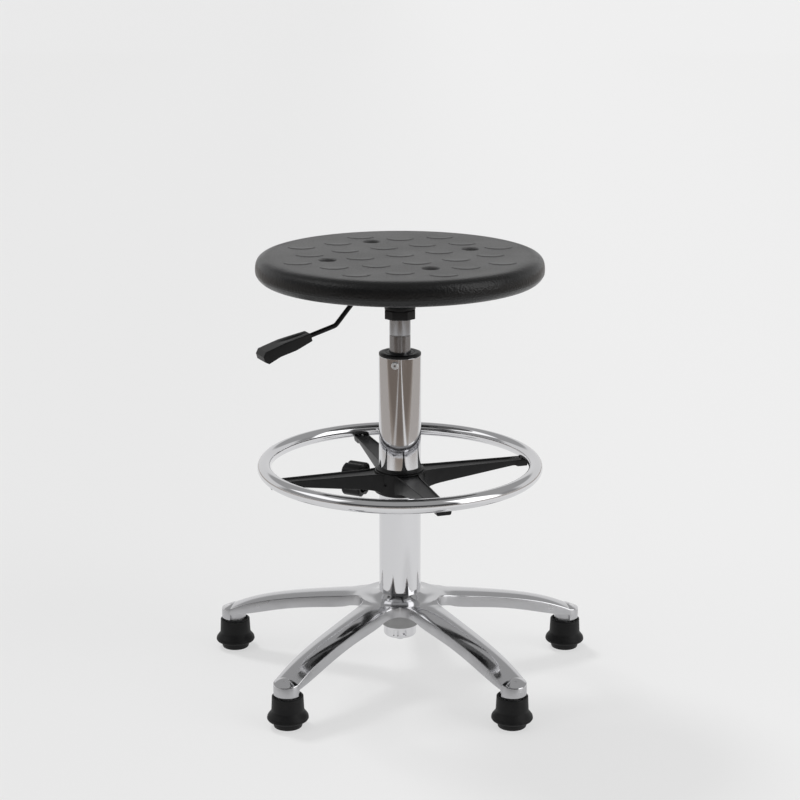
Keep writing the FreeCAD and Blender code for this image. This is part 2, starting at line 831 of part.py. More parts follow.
def guide_bush():
    """The long plastic bush in the column's top, with the flange that caps the tube."""
    body = new_body("guide_bush")
    bore = dim.stem_diameter / 2 + dim.running_clearance
    outer = column_inner / 2 - dim.running_clearance
    low = dim.column_top_height - dim.bush_length
    high = dim.column_top_height + dim.bush_flange_height
    flange = dim.bush_flange_diameter / 2
    chamfer = dim.bush_flange_height / 4
    groove = dim.bush_ring_groove / 2
    turned(body, "guide_bush_turned", [
        (bore, low),
        (outer, low),
        (outer, dim.column_top_height),
        (flange, dim.column_top_height),
        (flange, high - chamfer),
        (flange - chamfer, high),
        (groove + chamfer, high),
        (groove, high - chamfer),
        (groove - chamfer, high),
        (bore, high),
    ])
    hole_radius = dim.guide_screw_diameter / 2 + dim.running_clearance
    room = box_points(bore + dim.screw_room_skin, outer + margin, 0, hole_radius)
    turned(body, "bush_screw_room", room, "Groove",
           "H_Axis", (0, dim.guide_screw_height, 0))
    turn_about_z(body, dim.guide_screw_turn)


def guide_screw():
    body = new_body("guide_screw")
    surface = dim.column_diameter / 2
    inside = dim.stem_diameter / 2 + dim.running_clearance + dim.screw_end_gap
    head = dim.guide_screw_head / 2
    shank = dim.guide_screw_diameter / 2
    stand = surface + dim.guide_screw_stand
    turned(body, "guide_screw_turned", [
        (inside, 0),
        (stand, 0),
        (stand, head - dim.guide_screw_stand / 3),
        (stand - dim.guide_screw_stand / 3, head),
        (surface + dim.running_clearance, head),
        (surface + dim.running_clearance, shank),
        (inside, shank),
    ], axis="H_Axis", shift=(0, dim.guide_screw_height, 0))
    socket_floor = stand - dim.guide_screw_socket
    hexagon = new_sketch(body, "guide_screw_hexagon", "YZ_Plane", (0, dim.guide_screw_height, socket_floor))
    across = dim.guide_screw_hex / 2
    corner = across / cosine(sized(30))
    outline(hexagon, [
        (corner, 0), (corner / 2, across), (-corner / 2, across),
        (-corner, 0), (-corner / 2, -across), (corner / 2, -across),
    ])
    swept_straight(body, "guide_screw_socket", hexagon, dim.guide_screw_stand * 2, "Pocket", reverse=True)
    turn_about_z(body, dim.guide_screw_turn)


def foot_ring():
    """The bent tube, with a hole under each spoke for its screw."""
    body = new_body("foot_ring")
    sketch = new_sketch(body, "ring_section", "XZ_Plane")
    circle(sketch, dim.ring_circle / 2, dim.ring_height, dim.ring_tube)
    circle(sketch, dim.ring_circle / 2, dim.ring_height, dim.ring_tube - dim.ring_wall * 2)
    ring = body.newObject("PartDesign::Revolution", "ring_tube_turned")
    ring.Profile = sketch
    ring.ReferenceAxis = (sketch, ["V_Axis"])
    ring.Angle = 360.0
    radius = dim.ring_screw_diameter / 2 + dim.running_clearance
    for index in range(int(dim.spoke_count.number)):
        turn = 360 * index / dim.spoke_count
        place = new_sketch(body, "ring_screw_place", "XY_Plane", (0, 0, dim.ring_height - dim.ring_tube))
        circle(place, ring_screw_circle / 2 * cosine(turn), ring_screw_circle / 2 * sine(turn), radius * 2)
        swept_straight(body, "ring_screw_room", place, dim.ring_tube, "Pocket", reverse=True)
    turn_about_z(body, dim.spoke_turn)


def ring_hub():
    """The moulded spider: a hub, four tapering spokes with edge ribs, saddles and the clamp's boss."""
    body = new_body("ring_hub")
    bore = hub_bore / 2
    outer = dim.hub_diameter / 2
    chamfer = dim.liner_wall / 3
    turned(body, "hub", [
        (bore, dim.hub_low_height),
        (outer - chamfer, dim.hub_low_height),
        (outer, dim.hub_low_height + chamfer),
        (outer, dim.hub_high_height - chamfer),
        (outer - chamfer, dim.hub_high_height),
        (bore, dim.hub_high_height),
    ])
    top = dim.hub_high_height - dim.spoke_top_drop
    start = bore + dim.liner_wall / 2
    end = dim.ring_circle / 2 - dim.saddle_reach
    # a spoke is a loft between a deep root and a shallow tip, with a raised rib on each edge
    ends = []
    for name, reach, width, depth in (
        ("spoke_root", start, dim.spoke_root_width, dim.spoke_root_depth),
        ("spoke_tip", end, dim.spoke_tip_width, dim.spoke_tip_depth),
    ):
        half = width / 2
        low = top - depth
        face = top - dim.spoke_rib_height
        rib = half - dim.spoke_rib_width
        section = new_sketch(body, name + "_section", "YZ_Plane", (0, 0, reach))
        ends.append(outline(section, [
            (-half, low), (half, low), (half, top), (rib, top),
            (rib, face), (-rib, face), (-rib, top), (-half, top),
        ]))
    spoke = body.newObject("PartDesign::AdditiveLoft", "spoke")
    spoke.Profile = ends[0]
    spoke.Sections = [ends[1]]
    spoke.Ruled = True
    # the saddle reaches under the ring and is shaped to its tube
    saddle_sketch = new_sketch(body, "saddle_outline", "XZ_Plane")
    low = dim.saddle_low_height
    far = dim.ring_circle / 2 - dim.saddle_end_inset
    outline(saddle_sketch, [
        (end - dim.saddle_reach / 2, top - dim.spoke_tip_depth),
        (end, low),
        (far, low),
        (far, dim.ring_height - dim.ring_tube / 4),
        (end, top),
        (end - dim.saddle_reach / 2, top),
    ])
    saddle = swept_straight(body, "saddle", saddle_sketch, dim.saddle_width, symmetric=True)
    screw_radius = dim.ring_screw_diameter / 2 + dim.running_clearance
    head_radius = dim.ring_screw_head / 2 + dim.running_clearance
    head_high = low + dim.ring_screw_head_height
    hole = turned(body, "saddle_hole", [
        (0, low - margin),
        (head_radius, low - margin),
        (head_radius, head_high),
        (screw_radius, head_high),
        (screw_radius, dim.ring_height),
        (0, dim.ring_height),
    ], "Groove", shift=(ring_screw_circle / 2, 0, 0))
    around(body, "spokes", [spoke, saddle, hole], dim.spoke_count)
    groove_sketch = new_sketch(body, "tube_room_outline", "XZ_Plane")
    circle(groove_sketch, dim.ring_circle / 2, dim.ring_height, dim.ring_tube + dim.saddle_clearance)
    room = body.newObject("PartDesign::Groove", "tube_room")
    room.Profile = groove_sketch
    room.ReferenceAxis = (groove_sketch, ["V_Axis"])
    room.Angle = 360.0
    body.Tip = room
    # the boss of the clamp screw stands between two spokes
    boss_turn = dim.clamp_turn - dim.spoke_turn
    boss = new_sketch(body, "clamp_boss_outline", "YZ_Plane")
    boss.AttachmentOffset = Placement(Vector(0, 0, 0), Rotation(Vector(0, 1, 0), boss_turn.number))
    circle(boss, 0, dim.clamp_height, dim.clamp_boss_diameter)
    bind(boss, "AttachmentOffset.Rotation.Angle", boss_turn)
    swept_straight(body, "clamp_boss", boss, dim.clamp_boss_reach)
    bore_low = dim.hub_low_height - dim.clamp_boss_diameter
    turned(body, "hub_bore", box_points(0, bore, bore_low, dim.hub_high_height + dim.liner_wall), "Groove")

    def radial_pocket(name, angle, height, diameter, start, length):
        angle = angle - dim.spoke_turn
        cut = new_sketch(body, name + "_outline", "YZ_Plane")
        turn = Placement(Vector(), Rotation(Vector(0, 1, 0), angle.number))
        cut.AttachmentOffset = turn.multiply(Placement(Vector(0, 0, start.number), Rotation()))
        bind(cut, "AttachmentOffset.Rotation.Angle", angle)
        bind(cut, "AttachmentOffset.Base.x", start * sine(angle))
        bind(cut, "AttachmentOffset.Base.z", start * cosine(angle))
        circle(cut, 0, height, diameter)
        swept_straight(body, name, cut, length, "Pocket", reverse=True)

    radial_pocket("clamp_pad_room", dim.clamp_turn, dim.clamp_height,
                  dim.clamp_pad_diameter + dim.slip_clearance * 2, zero, dim.clamp_boss_reach)
    radial_pocket("clamp_insert_room", dim.clamp_turn, dim.clamp_height, dim.clamp_insert_diameter,
                  dim.clamp_boss_reach - dim.clamp_insert_length, dim.clamp_insert_length + dim.liner_wall)
    # blind dimples in the hub's wall, where the mould's pins stood
    for name, angle in (("first_dimple", dim.hub_dimple_first), ("second_dimple", dim.hub_dimple_second)):
        radial_pocket(name, angle, dim.hub_dimple_height, dim.hub_dimple_diameter,
                      outer - dim.hub_dimple_depth, dim.hub_diameter)
    turn_about_z(body, dim.spoke_turn)


def ring_liner():
    """The plastic liner that slides on the column; its flange caps the hub."""
    body = new_body("ring_liner")
    bore = dim.column_diameter / 2 + dim.running_clearance
    outer = bore + dim.liner_wall
    seat = dim.hub_high_height + dim.running_clearance
    flange = dim.liner_flange_diameter / 2
    top = seat + dim.liner_flange_height + dim.liner_cone_height
    turned(body, "ring_liner_turned", [
        (bore, dim.hub_low_height - dim.liner_tail),
        (outer, dim.hub_low_height - dim.liner_tail),
        (outer, seat),
        (flange, seat),
        (flange, seat + dim.liner_flange_height),
        (outer, top),
        (bore, top),
    ])


def ring_screws():
    low = dim.saddle_low_height
    head_high = low + dim.ring_screw_head_height

    def screw(name):
        body = new_body(name, kept=False)
        shank = dim.ring_screw_diameter / 2
        head = dim.ring_screw_head / 2
        turned(body, name + "_turned", [
            (0, low),
            (head, low),
            (head, head_high),
            (shank, head_high),
            (shank, head_high + dim.ring_screw_length),
            (0, head_high + dim.ring_screw_length),
        ])
        return body

    set_around("ring_screws", screw, dim.spoke_count, dim.spoke_turn, ring_screw_circle)


def clamp():
    """The foot ring's clamp: a lobed knob on a screw that presses a pad against the liner."""
    axis = {"axis": "H_Axis", "shift": (0, dim.clamp_height, 0)}
    liner_face = dim.column_diameter / 2 + dim.running_clearance + dim.liner_wall
    pad_near = liner_face + dim.clamp_gap
    pad_far = pad_near + dim.clamp_pad_thickness
    screw_radius = dim.clamp_screw_diameter / 2
    boss = dim.clamp_boss_reach

    insert = new_body("clamp_insert")
    turned(insert, "clamp_insert_turned", [
        (boss - dim.clamp_insert_length, screw_radius + dim.running_clearance),
        (boss, screw_radius + dim.running_clearance),
        (boss, dim.clamp_insert_diameter / 2),
        (boss - dim.clamp_insert_length, dim.clamp_insert_diameter / 2),
    ], **axis)

    pad = new_body("clamp_pad")
    turned(pad, "clamp_pad_turned", box_points(pad_near, pad_far, 0, dim.clamp_pad_diameter / 2), **axis)

    near = dim.knob_near
    far = near + dim.knob_thickness
    neck = dim.knob_neck_diameter / 2
    screw_end = near + dim.knob_thickness / 2
    screw = new_body("clamp_screw")
    tip = dim.clamp_screw_diameter / 8
    turned(screw, "clamp_screw_turned", [
        (pad_far + dim.running_clearance, 0),
        (screw_end, 0),
        (screw_end, screw_radius),
        (pad_far + dim.running_clearance + tip, screw_radius),
        (pad_far + dim.running_clearance, screw_radius - tip),
    ], **axis)

    knob = new_body("clamp_knob")
    outer = dim.knob_diameter / 2
    chamfer = dim.knob_chamfer
    cap = dim.knob_cap_diameter / 2
    turned(knob, "knob_turned", [
        (near - dim.knob_neck_length, screw_radius),
        (near - dim.knob_neck_length, neck),
        (near, neck),
        (near, outer - chamfer),
        (near + chamfer, outer),
        (far - chamfer, outer),
        (far, outer - chamfer),
        (far, cap),
        (far - dim.knob_cap_depth, cap),
        (far - dim.knob_cap_depth, 0),
        (screw_end, 0),
        (screw_end, screw_radius),
    ], **axis)
    flute_centre = outer + dim.knob_flute_diameter / 2 - dim.knob_flute_depth
    flutes = new_sketch(knob, "flute_outline", "YZ_Plane", (0, dim.clamp_height, near - margin))
    count = dim.knob_lobe_count
    for index in range(int(count.number)):
        angle = (360 / count) * index
        circle(flutes, flute_centre * cosine(angle), flute_centre * sine(angle), dim.knob_flute_diameter)
    swept_straight(knob, "flutes", flutes, dim.knob_thickness + margin * 2, "Pocket", reverse=True)

    disc = new_body("knob_cap")
    turned(disc, "knob_cap_turned", box_points(far - dim.knob_cap_depth, far - chamfer / 6, 0, cap), **axis)
    for body in (insert, pad, screw, knob, disc):
        turn_about_z(body, dim.clamp_turn)


def lever_path():
    """The lever's centre line in its own vertical plane: flat, then steep, then shallow."""
    bend = dim.lever_bend_radius
    steep, shallow = dim.steep_angle, dim.shallow_angle
    first = (dim.first_bend_reach, finger_level)
    fall = (dim.second_bend_reach - dim.first_bend_reach) * tangent(steep)
    second = (dim.second_bend_reach, finger_level - fall)
    first_lead = bend * tangent(steep / 2)
    second_lead = bend * tangent((steep - shallow) / 2)
    end_reach = dim.handle_start_reach + cosine(shallow) * dim.handle_socket
    end = (end_reach, second[1] - (end_reach - second[0]) * tangent(shallow))
    return {
        "start": (-dim.finger_end, finger_level),
        "a": (first[0] - first_lead, first[1]),
        "b": (first[0] + first_lead * cosine(steep), first[1] - first_lead * sine(steep)),
        "c": (second[0] - second_lead * cosine(steep), second[1] + second_lead * sine(steep)),
        "d": (second[0] + second_lead * cosine(shallow), second[1] - second_lead * sine(shallow)),
        "end": end,
        "second": second,
    }


def lever_rod():
    body = new_body("lever_rod")
    path = lever_path()
    bend = dim.lever_bend_radius
    spine = new_sketch(body, "lever_spine", "XZ_Plane")
    corners = ["start", "a", "b", "c", "d", "end"]
    edges = []
    for index, (first, last) in enumerate(zip(corners, corners[1:])):
        start = Vector(path[first][0].number, path[first][1].number, 0)
        end = Vector(path[last][0].number, path[last][1].number, 0)
        if index % 2 == 0:
            edges.append((spine.addGeometry(Part.LineSegment(start, end), False), 1, 2))
            continue
        turn = -bend.number if index == 1 else bend.number
        centre = arc_centre(start, end, turn)
        low, high = (end, start) if turn < 0 else (start, end)
        arc = Part.ArcOfCircle(Part.Circle(centre, Vector(0, 0, 1), abs(turn)),
                               math.atan2(low.y - centre.y, low.x - centre.x),
                               math.atan2(high.y - centre.y, high.x - centre.x))
        first_end, last_end = (2, 1) if turn < 0 else (1, 2)
        edges.append((spine.addGeometry(arc, False), first_end, last_end))
    for index, (edge, start, end) in enumerate(edges):
        limit(spine, "DistanceX", (-1, 1, edge, start), path[corners[index]][0])
        limit(spine, "DistanceY", (-1, 1, edge, start), path[corners[index]][1])
        if index % 2:
            limit(spine, "Radius", (edge,), bend)
        if index + 1 < len(edges):
            following = edges[index + 1]
            spine.addConstraint(Sketcher.Constraint("Coincident", edge, end, following[0], following[1]))
    last_edge, _, last_end = edges[-1]
    limit(spine, "DistanceX", (-1, 1, last_edge, last_end), path["end"][0])
    limit(spine, "DistanceY", (-1, 1, last_edge, last_end), path["end"][1])
    section = new_sketch(body, "lever_section", "YZ_Plane", (0, 0, -dim.finger_end))
    circle(section, 0, finger_level, dim.rod_wire)
    pipe = body.newObject("PartDesign::AdditivePipe", "lever_wire")
    pipe.Profile = section
    pipe.Spine = (spine, [f"Edge{index + 1}" for index in range(len(edges))])
    turn_about_z(body, dim.lever_turn)
    return path


def lever_handle(path):
    """The moulded paddle, drawn along its own length and then tilted with the rod."""
    body = new_body("lever_handle")
    length = dim.handle_length
    root, tip = dim.handle_root_depth / 2, dim.handle_tip_depth / 2
    side = new_sketch(body, "handle_side", "XZ_Plane")
    nose = dim.handle_tip_depth / 4
    outline(side, [
        (0, -root),
        (length * 0.45, -root - nose / 4, length * -4),
        (length - nose, -tip - nose / 2),
        (length, -tip + nose / 2),
        (length, tip - nose * 2),
        (length - nose, tip - nose, length * 2.2),
        (0, root),
    ])
    swept_straight(body, "handle_slab", side, dim.handle_width, symmetric=True)
    plan = new_sketch(body, "handle_plan", "XY_Plane", (0, 0, -dim.handle_tip_depth * 2))
    half, near = dim.handle_width / 2, dim.handle_root_width / 2
    edge = dim.handle_width
    outline(plan, [(-margin, near), (0, near), (length * 0.8, half), (length + margin, half),
                   (length + margin, edge), (-margin, edge)])
    outline(plan, [(-margin, -near), (-margin, -edge), (length + margin, -edge), (length + margin, -half),
                   (length * 0.8, -half), (0, -near)])
    swept_straight(body, "handle_sides", plan, dim.handle_tip_depth * 4, "Pocket", reverse=True)
    turned(body, "handle_bore", box_points(-margin, dim.handle_socket, 0, dim.rod_wire / 2), "Groove", "H_Axis")
    reach = dim.handle_start_reach
    level = path["second"][1] - (reach - path["second"][0]) * tangent(dim.shallow_angle)
    about_z = Placement(Vector(), Rotation(Vector(0, 0, 1), dim.lever_turn.number))
    lean = Rotation(Vector(0, 1, 0), dim.shallow_angle.number)
    tilt = Placement(Vector(reach.number, 0, level.number), lean)
    body.Placement = about_z.multiply(tilt)


def lever_pivot():
    """The block that the rod rocks on, its pin, and the bracket in the pan that holds the pin."""
    pin_level = finger_level - dim.pivot_drop
    reach = dim.pivot_reach
    radius = dim.pivot_pin_diameter / 2
    half_block = dim.pivot_block_length / 2
    half_width = dim.pivot_block_width / 2
    ear_near = half_width + dim.bracket_gap
    ear_far = ear_near + dim.bracket_thickness

    # the rod snaps into the open top of the block
    block_top = finger_level + dim.rod_wire / 4
    block = new_body("pivot_block")
    side = new_sketch(block, "pivot_block_side", "XZ_Plane")
    outline(side, [
        (reach + half_block, pin_level),
        (reach + half_block, block_top),
        (reach - half_block, block_top),
        (reach - half_block, pin_level, half_block * dim.crown_share),
    ])
    swept_straight(block, "pivot_block_pad", side, dim.pivot_block_width, symmetric=True)
    turned(block, "pivot_block_bore", box_points(0, reach + half_block * 2, 0, dim.rod_wire / 2), "Groove",
           "H_Axis", (0, finger_level, 0))
    hole = new_sketch(block, "pivot_hole", "XZ_Plane")
    circle(hole, reach, pin_level, dim.pivot_pin_diameter + dim.running_clearance * 2)
    swept_straight(block, "pivot_hole_cut", hole, dim.pivot_block_width * 2, "Pocket", symmetric=True)

    bracket = new_body("lever_bracket")
    ear = new_sketch(bracket, "bracket_ear", "XZ_Plane")
    ear_half = half_block - dim.bracket_gap
    outline(ear, [
        (reach - ear_half, pan_floor),
        (reach + ear_half, pan_floor),
        (reach + ear_half, pin_level + radius, ear_half * dim.crown_share),
        (reach - ear_half, pin_level + radius),
    ])
    swept_straight(bracket, "bracket_block", ear, ear_far * 2, symmetric=True)
    gap = new_sketch(bracket, "bracket_gap_outline", "XZ_Plane")
    outline(gap, box_points(reach - half_block * 2, reach + half_block * 2,
                            pan_floor + dim.bracket_thickness / 2, finger_level + half_block * 4))
    swept_straight(bracket, "bracket_gap_cut", gap, ear_near * 2, "Pocket", symmetric=True)
    ear_hole = new_sketch(bracket, "bracket_hole", "XZ_Plane")
    circle(ear_hole, reach, pin_level, dim.pivot_pin_diameter)
    swept_straight(bracket, "bracket_hole_cut", ear_hole, ear_far * 3, "Pocket", symmetric=True)

    pin = new_body("lever_pin")
    pin_section = new_sketch(pin, "lever_pin_section", "XZ_Plane")
    circle(pin_section, reach, pin_level, dim.pivot_pin_diameter)
    pin_length = (ear_far + dim.bracket_thickness / 2) * 2
    swept_straight(pin, "lever_pin_pad", pin_section, pin_length, symmetric=True)
    for body in (block, bracket, pin):
        turn_about_z(body, dim.lever_turn)


def star_base():
    """The cast base: a hub with a tapered bore, five hollow crowned legs and a boss for each foot."""
    body = new_body("star_base")
    boss = dim.base_boss_diameter / 2
    bore_high = dim.column_end_large / 2
    column_slope = (dim.column_end_large - dim.column_end_small) / 2 / (
        dim.base_hub_height - dim.column_end_low - dim.column_end_round)
    bore_low = bore_high - column_slope * (dim.base_hub_height - dim.base_boss_low)
    web = dim.base_web_diameter / 2
    turned(body, "base_hub", [
        (bore_low, dim.base_boss_low),
        (boss, dim.base_boss_low),
        (boss, dim.base_web_low),
        (web, dim.base_web_low),
        (web, dim.base_web_height - dim.leg_wall / 2),
        (dim.base_hub_collar / 2, dim.base_hub_height - dim.leg_wall / 2),
        (dim.column_diameter / 2, dim.base_hub_height),
        (bore_high, dim.base_hub_height),
    ])
    cutter = new_sketch(body, "pocket_outline", "XY_Plane", (0, 0, dim.base_boss_low))
    between = 180 / dim.leg_count
    centre = dim.pocket_floor_circle / 2 + dim.pocket_diameter / 2
    circle(cutter, centre * cosine(between), centre * sine(between), dim.pocket_diameter)
    pocket = swept_straight(body, "pocket", cutter, dim.base_hub_height, "Pocket", reverse=True)
    around(body, "pockets", [pocket], dim.leg_count)

    def section(name, reach, roof, crease, low, half):
        sketch = new_sketch(body, name, "YZ_Plane", (0, 0, reach))
        return outline(sketch, [
            (-half, low), (half, low), (half, crease, arc_radius(half, roof - crease)), (-half, crease),
        ])

    sections = []
    for station, *_ in leg_stations:
        parts = ("reach", "roof", "crease", "low", "half_width")
        values = [getattr(dim, f"{station}_{part}") for part in parts]
        sections.append(section(station + "_section", *values))
    tip = dim.leg_tip_diameter / 2
    tip_roof = dim.leg_tip_crease + dim.leg_tip_crown
    side_low = dim.leg_tip_low + (dim.leg_f_crease - dim.leg_f_low) / 2
    sections.append(section("leg_tip_section", foot_reach, tip_roof, dim.leg_tip_crease, side_low, tip))
    leg = body.newObject("PartDesign::AdditiveLoft", "leg")
    leg.Profile = sections[0]
    leg.Sections = sections[1:]
    end = turned(body, "leg_end", [
        (0, dim.leg_tip_low),
        (tip, dim.leg_tip_low),
        (tip, dim.leg_tip_crease, arc_radius(tip, dim.leg_tip_crown)),
        (0, tip_roof),
    ], shift=(foot_reach, 0, 0))
    around(body, "legs", [leg, end], dim.leg_count)

    hollow_sections = []
    wall, roof_wall = dim.leg_wall, dim.leg_roof
    for station in ("leg_b", "leg_c", "leg_d", "leg_e", "leg_f"):
        reach, crease, low, half = [
            getattr(dim, f"{station}_{part}") for part in ("reach", "crease", "low", "half_width")]
        sketch = new_sketch(body, station + "_hollow", "YZ_Plane", (0, 0, reach))
        section = box_points(wall - half, half - wall, low - dim.hollow_margin, crease - roof_wall)
        hollow_sections.append(outline(sketch, section))
    hollow = body.newObject("PartDesign::SubtractiveLoft", "leg_hollow")
    hollow.Profile = hollow_sections[0]
    hollow.Sections = hollow_sections[1:]
    pin = dim.foot_pin_diameter / 2 + dim.foot_pin_clearance
    bore_end = dim.leg_tip_low + dim.foot_pin_depth + margin
    bore = turned(body, "foot_bore", box_points(0, pin, dim.leg_tip_low - margin, bore_end),
                  "Groove", shift=(foot_reach, 0, 0))
    around(body, "hollows", [hollow, bore], dim.leg_count)
    turned(body, "column_bore", [
        (0, dim.base_boss_low - margin),
        (bore_low - column_slope, dim.base_boss_low - margin),
        (bore_high, dim.base_hub_height),
        (bore_high, dim.base_hub_height + margin),
        (0, dim.base_hub_height + margin),
    ], "Groove")
    turn_about_z(body, dim.leg_first)


def feet():
    """Each foot is a rubber cup moulded on a steel pin, held in the leg by a sprung ring."""
    pin_radius = dim.foot_pin_diameter / 2
    head_high = dim.pin_head_height + dim.pin_head_thickness
    cup_floor = dim.foot_rim_height - dim.foot_cup_depth
    pin_top = dim.leg_tip_low + dim.foot_pin_depth
    groove_high = pin_top - dim.grip_ring_drop
    groove_low = groove_high - dim.grip_ring_width
    groove_radius = pin_radius - dim.grip_ring_depth
    rings = []
    for index in range(int(dim.leg_count.number)):
        angle = dim.leg_first + (360 / dim.leg_count) * index
        number = index + 1
        rubber = new_body(f"rubber_foot_{number}")
        turned(rubber, f"rubber_{number}_turned", [
            (0, 0),
            (dim.foot_sole_diameter / 2, 0),
            (dim.foot_step_diameter / 2, dim.foot_step_height),
            (dim.foot_flare_diameter / 2, dim.foot_flare_low, dim.foot_flare_high - dim.foot_flare_low),
            (dim.foot_flare_diameter / 2, dim.foot_flare_high),
            (dim.foot_waist_diameter / 2, dim.foot_waist_height),
            (dim.foot_rim_diameter / 2, dim.foot_rim_height),
            (dim.foot_cup_diameter / 2, dim.foot_rim_height),
            (dim.foot_cup_diameter / 2 - dim.cup_draft, cup_floor),
            (pin_radius, cup_floor),
            (pin_radius, head_high),
            (dim.pin_head_diameter / 2, head_high),
            (dim.pin_head_diameter / 2, dim.pin_head_height),
            (0, dim.pin_head_height),
        ])
        pin = new_body(f"foot_pin_{number}")
        shoulder = dim.pin_head_diameter / 2
        turned(pin, f"pin_{number}_turned", [
            (0, dim.pin_head_height),
            (shoulder, dim.pin_head_height),
            (shoulder, head_high),
            (pin_radius, head_high),
            (pin_radius, cup_floor),
            (shoulder, cup_floor),
            (shoulder, dim.leg_tip_low),
            (pin_radius, dim.leg_tip_low),
            (pin_radius, groove_low),
            (groove_radius, groove_low),
            (groove_radius, groove_high),
            (pin_radius, groove_high),
            (pin_radius, pin_top),
            (0, pin_top),
        ])
        ring_outer = dim.foot_pin_diameter + dim.foot_pin_clearance * 2
        ring = tube(f"grip_ring_{number}", groove_radius * 2, ring_outer, groove_low, groove_high, kept=False)
        rings.append(ring)
        for piece in (rubber, pin, ring):
            place_on_circle(piece, dim.foot_circle, angle)
    grouped("grip_rings", rings)


seat_pad()
seat_insert()
seat_fasteners()
mechanism_plate()
taper_socket()
stem_collar()
gas_cylinder()
gas_lift_inside()
piston_rod()
thrust_bearing()
column_tube()
guide_bush()
guide_screw()
foot_ring()
ring_hub()
ring_liner()
ring_screws()
clamp()
lever_handle(lever_rod())
lever_pivot()
star_base()
feet()
doc.recompute()

faults = [f"{item.Name}: {item.State}" for item in doc.Objects if {"Invalid", "Error"} & set(item.State)]
for piece in subparts:
    shape = piece.Shape
    if shape.isNull() or not shape.isValid() or not shape.Solids:
        faults.append(f"{piece.Label}: no valid solid")
if faults:
    raise SystemExit("\n".join(faults))
os.makedirs("parts", exist_ok=True)
for piece in subparts:
    piece.Shape.exportStep(f"parts/{piece.Label}.step")
print(f"{len(subparts)} sub-parts written")
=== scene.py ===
import json
import math
import bmesh
import bpy
import numpy as np
from mathutils.geometry import delaunay_2d_cdt
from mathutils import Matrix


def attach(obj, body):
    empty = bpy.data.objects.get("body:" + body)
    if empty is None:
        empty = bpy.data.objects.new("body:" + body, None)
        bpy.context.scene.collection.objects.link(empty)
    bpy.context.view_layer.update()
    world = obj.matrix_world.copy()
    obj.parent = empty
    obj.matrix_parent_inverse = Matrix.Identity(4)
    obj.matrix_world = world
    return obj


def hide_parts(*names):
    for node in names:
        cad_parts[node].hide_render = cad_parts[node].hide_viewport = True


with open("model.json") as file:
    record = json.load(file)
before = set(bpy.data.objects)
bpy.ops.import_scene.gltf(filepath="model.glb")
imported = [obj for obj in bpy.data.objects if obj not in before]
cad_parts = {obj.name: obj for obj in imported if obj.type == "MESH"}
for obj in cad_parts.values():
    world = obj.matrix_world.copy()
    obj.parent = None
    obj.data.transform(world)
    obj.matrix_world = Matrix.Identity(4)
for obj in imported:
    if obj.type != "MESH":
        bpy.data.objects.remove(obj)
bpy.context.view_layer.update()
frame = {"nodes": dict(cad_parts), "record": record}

# A height-adjustable drafting stool. Sizes are in millimetres about the column's axis,
# with the floor at zero, and become metres when a mesh is made.

mm = 0.001
fullTurn = 2 * math.pi
print("frame loaded")


# ---- camera, floor and studio

cameraPlace = {"distance": 2441.7, "height": 1011.4, "pitch": 14.91, "lens": 89.83}

studio = {
    "floorSize": 80000,
    "floorColour": "#8f8f8f",
    "floorGlow": (0.56, 0.605),  # the white sweep is lit evenly from all round: left side, right side
    "backdrop": 0.95,            # pale sweep behind the stool
    "sideWall": 0.40,
    "frontWall": 0.10,           # the unlit room behind the camera
    "ceiling": 0.48,
    # where each softbox fades in and out: round from the camera's side in radians, then by height
    "leftAround": (0.85, 0.98, 1.8, 1.95), "rightAround": (0.78, 0.9, 1.4, 1.55),
    "leftFoot": (0.46, 0.52), "boxTop": (0.80, 0.86), "middle": 0.1,
    "leftBox": 1.7,             # a softbox high on the left
    "rightBox": 2.4,            # a tall one on the right, down to the floor
    "key": 1.3,
    # the sweep's paper ends in front of and beside the stool; past it lies the room's dark floor
    "paperFront": (-800, -1600), "paperSides": (950, 1700),
    "roomFloor": ("#a0968d", "#7f756d"), "farFloor": (-1400, -2400),
    # two strips of paper run further forward, the right one paler
    "strips": (600, 900, 1000, 1300), "stripShare": (0.50, 0.95),
}


def linear(hexText):
    # an sRGB hex colour as linear light
    channels = [int(hexText[at:at + 2], 16) / 255 for at in (1, 3, 5)]
    return tuple(c / 12.92 if c <= 0.04045 else ((c + 0.055) / 1.055) ** 2.4 for c in channels) + (1.0,)


def addNode(tree, kind, settings=None, sockets=None):
    # settings are the node's own fields; sockets take a number or another node's output
    node = tree.nodes.new(kind)
    for field, value in (settings or {}).items():
        setattr(node, field, value)
    for socket, value in (sockets or {}).items():
        if isinstance(value, bpy.types.NodeSocket):
            tree.links.new(value, node.inputs[socket])
        else:
            node.inputs[socket].default_value = value
    return node


def makeCamera():
    data = bpy.data.cameras.new("camera")
    data.lens = cameraPlace["lens"]
    data.clip_end = 200
    camera = bpy.data.objects.new("camera", data)
    camera.location = (0, -cameraPlace["distance"] * mm, cameraPlace["height"] * mm)
    camera.rotation_euler = (math.radians(90 - cameraPlace["pitch"]), 0, 0)
    bpy.context.collection.objects.link(camera)
    bpy.context.scene.camera = camera


def fade(tree, value, start, end, low, high):
    return addNode(tree, "ShaderNodeMapRange", {"interpolation_type": "SMOOTHSTEP"},
                   {"Value": value, "From Min": start, "From Max": end, "To Min": low, "To Max": high}).outputs[0]


def blended(tree, first, second, share):
    return addNode(tree, "ShaderNodeMix", {"data_type": "FLOAT"},
                   {"Factor": share, "A": first, "B": second}).outputs[0]


def calculated(tree, operation, first, second=0.0):
    return addNode(tree, "ShaderNodeMath", {"operation": operation}, {0: first, 1: second}).outputs[0]


def window(tree, value, start, full, last, end):
    # one between full and last, fading to nothing at start and end
    return calculated(tree, "MULTIPLY", fade(tree, value, start, full, 0.0, 1.0),
                      fade(tree, value, last, end, 1.0, 0.0))


